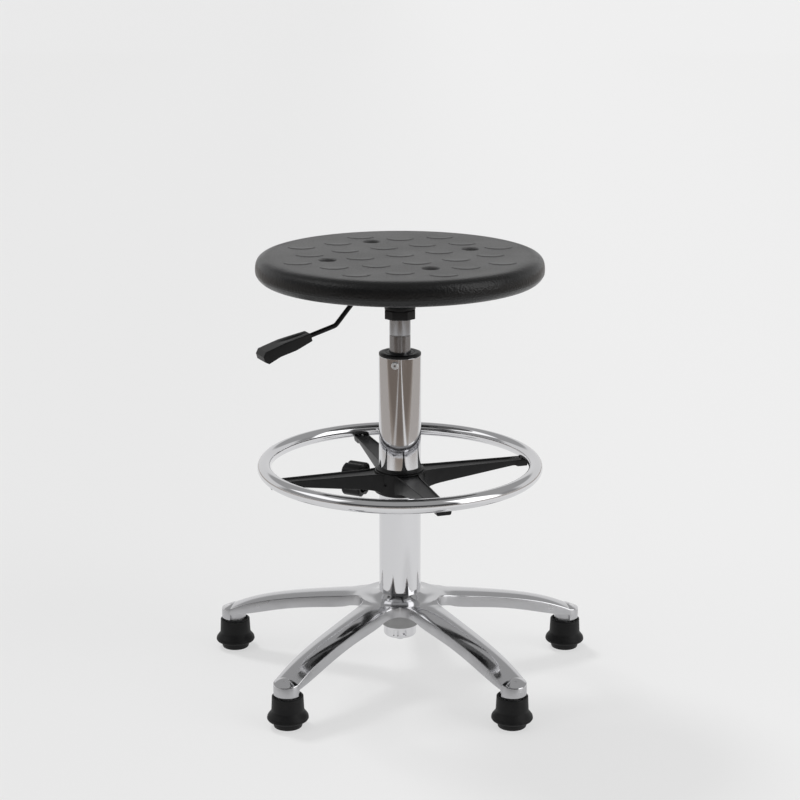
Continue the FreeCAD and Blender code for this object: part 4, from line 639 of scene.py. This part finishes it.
def legParts():
    outline, middle, stretch = legOutline()
    side = stretch != "web"
    onTip = stretch == "tip"
    firstSide = int(np.argmax(side)) - 1              # the crotch point on the bisector
    # outward direction of the outline, for the bevel and the inner wall
    along = np.gradient(outline, axis=0)
    outward = np.stack([-along[:, 1], along[:, 0]], -1)
    outward /= np.linalg.norm(outward, axis=1)[:, None]
    bisector = math.radians(180 / base["legs"])
    outward[firstSide] = (math.cos(bisector), math.sin(bisector))
    outward[-1] = (1, 0)
    path = np.concatenate([[0], np.cumsum(np.linalg.norm(np.diff(outline, axis=0), axis=1))])
    turnShare = smoothStep(path, path[firstSide], path[firstSide] + 34)

    flat = base["webHeight"] + (base["seamHeight"] - base["webHeight"]) * hubRise(np.hypot(*outline.T))
    crease = np.where(side, base["webHeight"] + (legCrease(np.maximum(outline[:, 0], 62)) - base["webHeight"])
                      * turnShare, flat)
    # round the tip the crease sinks a little, so that the middle line runs straight on
    tipSink = base["tipSink"] * np.clip((outline[:, 0] - base["foot"]) / base["tipRadius"], 0, 1)
    crease = np.where(onTip, base["tipCrease"] - tipSink, crease)
    rise = hubRise(middle)
    roof = legRoof(np.maximum(middle, 40)) * (1 - rise) + base["seamHeight"] * rise
    low = base["webLow"] + (legLow(np.maximum(outline[:, 0], 62)) - base["webLow"]) * turnShare
    low = np.where(onTip, base["tipLow"], low)

    across = np.linspace(0, 1, base["across"])[None, :]
    ahead = np.where(onTip, outline[:, 1] / base["tipRadius"], 1)
    power = (1 + 0.9 * ahead ** 2)[:, None]
    bulge = (1 - (1 - across) ** power) * turnShare[:, None] + smoothStep(across, 0, 1) * (1 - turnShare[:, None])

    def fan(edge, centre, edgeHeight, centreHeight):
        # points from the outline to the middle line: turned about the axis near the hub, straight further out
        edgeAngle = np.arctan2(edge[:, 1], edge[:, 0])[:, None] * (1 - across)
        edgeReach = np.hypot(*edge.T)[:, None] * (1 - across) + centre[:, None] * across
        polar = np.stack([edgeReach * np.cos(edgeAngle), edgeReach * np.sin(edgeAngle)], -1)
        straight = edge[:, None, :] * (1 - across[..., None])
        straight[..., 0] += centre[:, None] * across
        share = turnShare[:, None, None]
        plan = polar * (1 - share) + straight * share
        height = edgeHeight[:, None] + (centreHeight - edgeHeight)[:, None] * bulge
        return np.concatenate([plan, height[..., None]], -1)

    bevel = base["edgeWidth"] * smoothStep(path, path[firstSide] - 0.1, path[firstSide] + 4)
    topEdge = outline - outward * bevel[:, None] * side[:, None]
    top = fan(topEdge, middle, crease, np.where(middle < 1, crease, roof))

    def strip(places, heights):
        # a band of the side between successive offsets, from the crotch to the tip
        return np.stack([np.column_stack([place, height])[firstSide:] for place, height in zip(places, heights)], 1)

    innerEdge = outline - outward * base["wall"]
    # the tip is a solid shell outboard of the foot; inside the leg the wall runs up to the roof
    bevelDrop = bevel * 0.9
    sides = strip([topEdge, outline - outward * bevel[:, None] * 0.3, outline, outline, innerEdge],
                  [crease, crease - bevelDrop * 0.25, crease - bevelDrop, low, low])
    underWeb = np.linspace(base["bossRadius"], base["crotch"] - base["wall"], firstSide + 1)
    underEdge = np.concatenate([np.stack([underWeb * math.cos(bisector), underWeb * math.sin(bisector)], -1),
                                innerEdge[firstSide + 1:]])
    underMiddle = middle.copy()
    underMiddle[:firstSide + 1] = underWeb
    hollow = smoothStep(middle, base["crotch"] + 1, base["crotch"] + 9)
    underHeight = base["webLow"] + (crease - base["roofThickness"] - base["webLow"]) * hollow
    underRoof = base["webLow"] + (roof - base["roofThickness"] - base["webLow"]) * hollow
    inner = strip([innerEdge, underEdge], [low, underHeight])
    under = fan(underEdge, underMiddle, underHeight, underRoof)
    tidy = [(top, 0), (sides[:, :3], 0), (sides[:, 2:], 1), (inner, 2), (under, 2)]
    parts = []
    for leg in range(base["legs"]):
        angle = base["firstLeg"] + 360 / base["legs"] * leg
        for points, look in tidy:
            mirrored = points * np.array([1, -1, 1])
            parts.append(surface(aimed(points, angle), look=look))
            parts.append(surface(aimed(mirrored, angle), look=look))
    return parts


def baseParts():
    parts = legParts()
    segments = 2 * base["legs"] * (base["across"] - 1)
    hub = roundedLine([
        (base["seam"], base["seamHeight"], 0), (26.0, base["seamHeight"] - 0.4, 0),
        (22.9, base["seamHeight"] - 0.4, 0),
        (base["columnRadius"], base["bossLow"], 0.6), (base["bossRadius"], base["bossLow"], 1.4),
        (base["bossRadius"], base["webLow"], 0)], 5)
    # the boss under the hub takes the darker underside finish, which is partly painted shade for the shadow under
    # the web
    parts.append(turned(hub, segments, 2, math.radians(base["firstLeg"])))
    # inside each tip a round boss takes the foot's pin
    boss = roundedLine([(5.7, 60.0, 0), (5.7, base["tipLow"] + 0.3, 0.5), (14.6, base["tipLow"] + 0.3, 0.8),
                        (15.6, 54.0, 0), (5.7, 60.0, 0)], 4)
    for leg in range(base["legs"]):
        angle = base["firstLeg"] + 360 / base["legs"] * leg
        shift = aimed(np.array([base["foot"], 0, 0]), angle)
        parts.append(moved(turned(boss, 64, 1), lambda points: points + shift))
    return parts


makePiece("cast_base", "base", ["star_base"], baseParts(),
          ["polishedAluminium", "satinAluminium", "castUndersideAndPaintedShade"], 30)


# ---- rubber feet: a cup with a flared skirt and a stepped sole

foot = {
    "circle": 232.5, "firstFoot": 90.0,
    # radius, height and rounding at each corner, from the cup's floor over the rim to the sole
    "profile": [(5.6, 36.4, 0), (15.6, 36.4, 0.8), (16.6, 39.4, 0.8), (19.25, 40.0, 0.9), (19.6, 33.0, 4.0),
                (20.2, 20.5, 5.0), (24.7, 14.6, 1.6), (25.3, 13.2, 0.4), (24.8, 12.6, 0.3), (25.5, 12.0, 0.5),
                (25.5, 10.8, 1.0), (24.6, 9.3, 0.7), (18.9, 8.4, 0.9),
                (18.4, 4.6, 1.2), (17.2, 0.0, 0.9), (13.0, 0.0, 0.5), (12.4, 1.0, 0.4), (10.0, 1.0, 0.4),
                (9.4, 0.0, 0.5), (0.0, 0.0, 0)],
}


def makeFeet():
    profile = roundedLine(foot["profile"], 6)
    closing = np.array([(5.6, 36.4), (5.6, 30.0), (0.0, 30.0)])[::-1]
    profile = np.concatenate([closing, profile[1:]])
    for number in range(1, 6):
        angle = foot["firstFoot"] + 72 * (number - 1)
        shift = aimed(np.array([foot["circle"], 0, 0]), angle)
        part = moved(turned(profile, 96), lambda points: points + shift)
        makePiece(f"foot_cup_{number}", "base", [f"rubber_foot_{number}"], [part], ["rubber"], 40)


makeFeet()


# ---- column, its cap, the stem and the collar under the seat

column = {
    "radius": 26.75, "top": 420.5, "bore": 24.75, "seam": 107.0,
    "endLarge": 23.0, "endSmall": 21.3, "endLow": 46.0, "endRound": 4.0,
    "slotTurns": [248, 262, 290], "slotHeight": 54.0, "holeTurn": 283.0, "holeHeight": 53.0,
}


def columnParts():
    # the lower end tapers into the hub; small slots and a hole are pressed into its wall
    profile = roundedLine([
        (column["bore"], 340.0, 0), (column["bore"], column["top"], 0.4), (column["radius"], column["top"], 0.7),
        (column["radius"], column["seam"], 0), (column["endLarge"], column["seam"] - 0.5, 0)], 4)
    taper = np.stack([np.linspace(column["endLarge"], column["endSmall"] + 0.25, 8),
                      np.linspace(column["seam"] - 0.5, 63, 8)], -1)[1:]
    fine = np.stack([np.linspace(column["endSmall"] + 0.25, column["endSmall"], 24),
                     np.linspace(62.6, column["endLow"] + column["endRound"], 24)], -1)
    foot = roundedLine([(column["endSmall"], column["endLow"] + column["endRound"], 0),
                        (column["endSmall"], column["endLow"], column["endRound"] - 0.1),
                        (8.5, column["endLow"], 0.5), (8.5, column["endLow"] + 6, 0),
                        (0, column["endLow"] + 6, 0)], 6)
    points, faces, look = turned(np.concatenate([profile, taper, fine, foot[1:]]), 256)
    angle = np.degrees(np.arctan2(points[:, 1], points[:, 0])) % 360
    reach = np.hypot(points[:, 0], points[:, 1])
    pressed = np.zeros(len(points))
    for turn in column["slotTurns"]:
        sideways = np.abs(angle - turn) / 360 * fullTurn * column["endSmall"]
        pressed += (1 - smoothStep(sideways, 0.3, 1.0)) * (
            1 - smoothStep(np.abs(points[:, 2] - column["slotHeight"]), 3.0, 4.2)) * 0.9
    away = np.hypot((angle - column["holeTurn"]) / 360 * fullTurn * column["endSmall"],
                    points[:, 2] - column["holeHeight"])
    pressed += (1 - smoothStep(away, 0.7, 1.4)) * 2.5
    share = 1 - pressed * (reach > column["endSmall"] - 1) * (points[:, 2] < 62) / np.maximum(reach, 1)
    return [(drawnIn(points, share), faces, look)]


makePiece("column_shell", "base", ["column_tube"], columnParts(), ["brightChrome"])

capProfile = roundedLine([
    (13.7, 340.5, 0), (13.7, 424.5, 0.6), (17.6, 424.5, 0.2), (17.9, 423.9, 0.2), (18.6, 423.9, 0.2),
    (18.9, 424.5, 0.2), (23.6, 424.5, 0.3), (24.2, 424.0, 0.3), (26.6, 423.4, 0.6), (26.6, 420.6, 0.4),
    (24.7, 420.6, 0), (24.7, 341.0, 0.5), (13.7, 340.5, 0)], 4)
makePiece("column_cap", "base", ["guide_bush"], [turned(capProfile, 192)], ["abs"])

stemProfile = roundedLine([
    (11.55, 204.5, 0), (13.35, 204.5, 0.8), (13.35, 446.1, 0.15), (12.75, 446.4, 0.15), (12.75, 447.6, 0.15),
    (13.35, 447.9, 0.15), (13.35, 473.5, 0), (12.5, 500.5, 0.6), (4.3, 500.5, 0.3), (4.3, 497.0, 0),
    (11.55, 497.0, 0), (11.55, 204.5, 0)], 4)
makePiece("stem", "seat", ["gas_cylinder"], [turned(stemProfile, 160)], ["satinChrome"])


def collarParts():
    # eight flats below, a round neck above, worked out as the nearest of the flats in each direction
    low, high = 468.0, 483.5
    profile = roundedLine([(13.7, low, 0), (19, low, 0.9), (19, 479, 0.7), (18.2, 479.4, 0), (19.5, 479.6, 0.5),
                           (19.5, high, 0.3), (17.1, high, 0), (17.1, 470.6, 0), (13.7, 470.5, 0),
                           (13.7, low, 0)], 4)
    points, faces, look = turned(profile, 256)
    angle = np.arctan2(points[:, 1], points[:, 0])
    flat = np.abs((angle + math.pi / 4) % (math.pi / 2) - math.pi / 4)
    corner = math.pi / 4 - flat
    octagon = np.minimum(19.0 / np.cos(flat), 20.15 / np.cos(corner)) / 19.0
    octagonal = (np.hypot(points[:, 0], points[:, 1]) > 17.5) & (points[:, 2] < 479.2)
    share = np.where(octagonal, octagon, 1.0)
    return [(drawnIn(points, share), faces, look)]


makePiece("seat_collar", "seat", ["stem_collar"], collarParts(), ["abs"], 26)


# ---- foot ring, its spider and sleeve

ring = {"radius": 173.0, "tube": 8.9, "height": 275.7, "aroundSteps": 384, "tubeSteps": 40}


def ringParts():
    # the tube's circle carried round the ring; a fine weld bead closes it at the back
    around = np.linspace(0, fullTurn, ring["aroundSteps"], endpoint=False)[:, None]
    tube = np.linspace(0, fullTurn, ring["tubeSteps"], endpoint=False)[None, :]
    bead = 0.12 * np.exp(-(((around - math.radians(100)) * ring["radius"]) / 1.2) ** 2)
    reach = ring["radius"] + (ring["tube"] + bead) * np.cos(tube)
    points = np.stack([reach * np.cos(around), reach * np.sin(around),
                       ring["height"] + (ring["tube"] + bead) * np.sin(tube)], -1)
    points = np.concatenate([points, points[:1]])
    return [surface(points, True)]


makePiece("ring_tube", "foot_ring", ["foot_ring"], ringParts(), ["brightChrome"])

spider = {
    "low": 241.5, "high": 270.5, "radius": 32.5, "bore": 29.45,
    "spokeTurn": 18.0, "spokeTop": 270.0, "spokeStart": 30.4, "spokeEnd": 171.0,
    "rootHalf": 14.0, "tipHalf": 9.5, "rootDepth": 22.0, "tipDepth": 6.0, "saddleStart": 155.0,
    "saddleLow": 261.0, "saddleHalf": 9.9, "ribWidth": 2.2, "ribHeight": 1.8,
    "dimpleTurns": [235.0, 266.0], "dimpleHeight": 257.0,
    "bossTurn": 153.0, "bossHeight": 248.5, "bossRadius": 9.0, "bossReach": 44.0,
}


def spokePart():
    # a section carried outwards: two edge ribs on top, a tapering gusset below that
    # flares where it meets the hub, and a saddle shaped to the underside of the ring
    reach = np.unique(np.concatenate([
        np.linspace(spider["spokeStart"], 48, 12), np.linspace(48, spider["saddleStart"], 26),
        np.linspace(spider["saddleStart"], spider["spokeEnd"], 18)]))
    share = (reach - spider["radius"]) / (160 - spider["radius"])
    flare = np.exp(-(reach - spider["radius"]) / 4.5)
    half = spider["rootHalf"] + (spider["tipHalf"] - spider["rootHalf"]) * share + 3 * flare
    saddle = smoothStep(reach, spider["saddleStart"] - 2, spider["saddleStart"] + 4)
    half = half * (1 - saddle) + spider["saddleHalf"] * saddle
    depth = spider["rootDepth"] + (spider["tipDepth"] - spider["rootDepth"]) * np.clip(share, 0, 1) + 4 * flare
    low = (spider["spokeTop"] - depth) * (1 - saddle) + spider["saddleLow"] * saddle
    underTube = ring["height"] - np.sqrt(np.maximum((ring["tube"] + 0.05) ** 2 - (reach - ring["radius"]) ** 2, 0))
    insideTube = np.abs(reach - ring["radius"]) < ring["tube"]
    top = np.where(insideTube, np.minimum(underTube, spider["spokeTop"]), spider["spokeTop"])
    rib = spider["ribHeight"] * (1 - smoothStep(reach, spider["saddleStart"] - 6, spider["saddleStart"] + 4))
    inset = spider["ribWidth"]
    # one side's section: x as a share of the half width or an inset from it,
    # y above the low line or below the top
    flat = np.zeros_like(reach)
    side = [
        (flat, low), (half * 0.80, low), (half - 1.2, low + 0.5), (half - 0.7, low + 1.4), (half, top - 0.7),
        (half - 0.6, top), (half - inset + 0.4, top), (half - inset - 0.3, top - rib * 0.9),
        (half - inset - 1.2, top - rib), (flat, top - rib)]
    right = np.stack([np.stack([x, y], -1) for x, y in side], 1)
    left = right[:, ::-1] * np.array([-1, 1])
    section = np.concatenate([right, left[:, 1:-1]], 1)
    points = np.concatenate([np.broadcast_to(reach[:, None, None], section.shape[:2] + (1,)), section], -1)
    ends = [np.broadcast_to(points[at].mean(0), points[at].shape)[None] for at in (0, -1)]
    return surface(np.concatenate([ends[0], points, ends[1]]), True)


def ontoHub(points):
    # the root of a spoke bends back to follow the hub's round wall
    out, side, up = points.T
    wall = spider["spokeStart"]
    back = wall - np.sqrt(np.maximum(wall ** 2 - side ** 2, 0))
    return np.stack([out - back * (1 - smoothStep(out, wall, wall + 12)), side, up], -1)


def spiderParts():
    low, high, outer, bore = spider["low"], spider["high"], spider["radius"], spider["bore"]
    hub = roundedLine([(bore, low, 0), (outer, low, 1.0), (outer, high, 1.0), (bore, high, 0), (bore, low, 0)], 4)
    segments = 320
    rows = np.linspace(low + 1.0, high - 1.0, 40)
    wall = np.stack([np.full(len(rows), outer), rows], -1)
    split = int(np.argmax(hub[:, 1] > (low + high) / 2))
    points, faces, look = turned(np.concatenate([hub[:split], wall[1:-1], hub[split:]]), segments)
    angle = np.degrees(np.arctan2(points[:, 1], points[:, 0])) % 360
    reach = np.hypot(points[:, 0], points[:, 1])
    share = np.ones(len(points))
    for turn in spider["dimpleTurns"]:
        away = np.hypot((angle - turn) / 360 * fullTurn * outer, points[:, 2] - spider["dimpleHeight"])
        share -= (1 - smoothStep(away, 1.6, 2.2)) * 1.8 / outer * (reach > outer - 0.5)
    parts = [(drawnIn(points, share), faces, look)]
    for spoke in range(4):
        parts.append(moved(spokePart(), lambda points: aimed(ontoHub(points), spider["spokeTurn"] + 90 * spoke)))
    # the clamp screw's boss
    boss = roundedLine([(0, 30.6, 0), (9, 30.6, 0), (spider["bossRadius"], spider["bossReach"], 0.8),
                        (4.4, spider["bossReach"], 0.4), (4.4, 34, 0), (0, 34, 0)], 4)
    points, faces, look = turned(boss, 64)
    parts.append((aimed(points[:, [2, 0, 1]], spider["bossTurn"], spider["bossHeight"]), faces, look))
    return parts


makePiece("ring_spider", "foot_ring", ["ring_hub"], spiderParts(), ["nylon"], 28)

linerProfile = roundedLine([
    (26.85, 240.0, 0), (29.3, 240.0, 0.4), (29.3, 270.6, 0), (30.75, 270.6, 0.5), (30.75, 272.3, 0.6),
    (28.6, 272.9, 0.8), (27.4, 275.4, 0.4), (26.85, 275.4, 0.2), (26.85, 240.0, 0)], 4)
makePiece("sleeve", "ring_sleeve", ["ring_liner"], [turned(linerProfile, 192)], ["abs"])


# ---- clamp knob: six lobes, dished towards the hub

knob = {
    "turn": 153.0, "height": 248.5, "near": 51.0, "far": 77.0, "radius": 22.5, "lobes": 6, "fluteDepth": 2.4,
}


def knobParts():
    near, far, outer = knob["near"], knob["far"], knob["radius"]
    profile = roundedLine([
        (4.2, near - 5, 0), (10, near - 5, 0.6), (10, near + 6, 0.6), (16.0, near + 6, 0.8), (17.0, near, 0.5),
        (19.4, near, 0.6), (outer, near + 1.4, 0.8), (outer, far - 1.6, 0.8), (outer - 1.6, far, 0.8),
        (8.3, far, 0.5), (8.1, far - 3, 0), (0, far - 3, 0)], 5)
    points, faces, look = turned(profile, 240)
    angle = np.arctan2(points[:, 1], points[:, 0])
    reach = np.hypot(points[:, 0], points[:, 1])
    flute = (0.5 - 0.5 * np.cos(knob["lobes"] * angle)) ** 2.6
    share = 1 - knob["fluteDepth"] * flute * smoothStep(reach, 12, 20) / np.maximum(reach, 1)
    points = drawnIn(points, share)
    return [(aimed(points[:, [2, 0, 1]], knob["turn"], knob["height"]), faces, look)]


makePiece("knob_grip", "clamp_knob", ["clamp_knob"], knobParts(), ["abs"], 34)


# ---- release lever's paddle

paddle = {
    "turn": 206.0, "tilt": 15.5, "start": 124.5, "level": 457.5,
    # side view: distance along and height at each corner, with its rounding
    "outline": [(0, -5.2, 0.8), (24, -8.0, 20), (46, -7.6, 20), (63.0, -10.8, 1.6), (67.6, -6.6, 1.2),
                (67.6, 0.2, 1.0), (63.2, 5.2, 1.4), (36, 6.4, 60), (0, 4.7, 0.8)],
    "rootHalf": 9.3, "tipHalf": 13.3, "edge": 1.0, "dishAlong": 22.0, "dishLength": 17.0, "dishDepth": 1.0,
}


def closedOutline(corners, steps=6):
    # a rounded polygon whose first and last points meet
    middle = [(corners[0][0] + corners[-1][0]) / 2, (corners[0][1] + corners[-1][1]) / 2, 0]
    return roundedLine([middle] + corners + [middle], steps)[:-1]


def paddleParts():
    # the side view is carried across the width, which widens towards the tip; the long edges
    # are rounded and each flat side closes on a line along its middle
    line = closedOutline(paddle["outline"])
    fine = []
    for start, end in zip(line, np.roll(line, -1, axis=0)):
        count = max(1, int(np.hypot(*(end - start)) / 1.6))
        fine.extend(start + (end - start) * np.arange(count)[:, None] / count)
    line = np.array(fine)
    along = np.roll(line, -1, axis=0) - np.roll(line, 1, axis=0)
    inward = np.stack([-along[:, 1], along[:, 0]], -1) / np.linalg.norm(along, axis=1)[:, None]
    spine = np.stack([np.clip(line[:, 0], 5, 62), -1 - 1.6 * np.clip(line[:, 0], 5, 62) / 62], -1)

    def halfWidth(distance):
        share = np.clip(distance / 60, 0, 1)
        return paddle["rootHalf"] + (paddle["tipHalf"] - paddle["rootHalf"]) * (1 - (1 - share) ** 2.2)

    bend = np.linspace(0, math.pi / 2, 6)
    rows = [(spine, halfWidth(spine[:, 0]))]
    rows += [(line + inward * paddle["edge"] * (1 - math.cos(turn)),
              halfWidth(line[:, 0]) - paddle["edge"] * (1 - math.sin(turn))) for turn in bend[::-1]]
    rows += [(line, halfWidth(line[:, 0]) * share) for share in np.linspace(0.85, -0.85, 18)]
    rows += [(place, -width) for place, width in rows[:7][::-1]]
    points = np.stack([np.column_stack([place[:, 0], width, place[:, 1]]) for place, width in rows])
    # a long shallow dish for the finger narrows towards the root
    onTop = points[..., 2] > 3
    reach = (points[..., 0] - paddle["dishAlong"]) / paddle["dishLength"]
    narrow = 2.0 + 3.2 * np.clip(points[..., 0] / 40, 0, 1)
    points[..., 2] -= paddle["dishDepth"] * np.exp(-reach ** 4) * np.exp(-(points[..., 1] / narrow) ** 2) * onTop
    tilt = math.radians(paddle["tilt"])
    out = paddle["start"] + points[..., 0] * math.cos(tilt) + points[..., 2] * math.sin(tilt)
    rise = paddle["level"] - points[..., 0] * math.sin(tilt) + points[..., 2] * math.cos(tilt)
    return [surface(aimed(np.stack([out, points[..., 1], rise], -1), paddle["turn"]), True)]


makePiece("lever_paddle", "lever", ["lever_handle"], paddleParts(), ["abs"], 30)

print("stool finished")
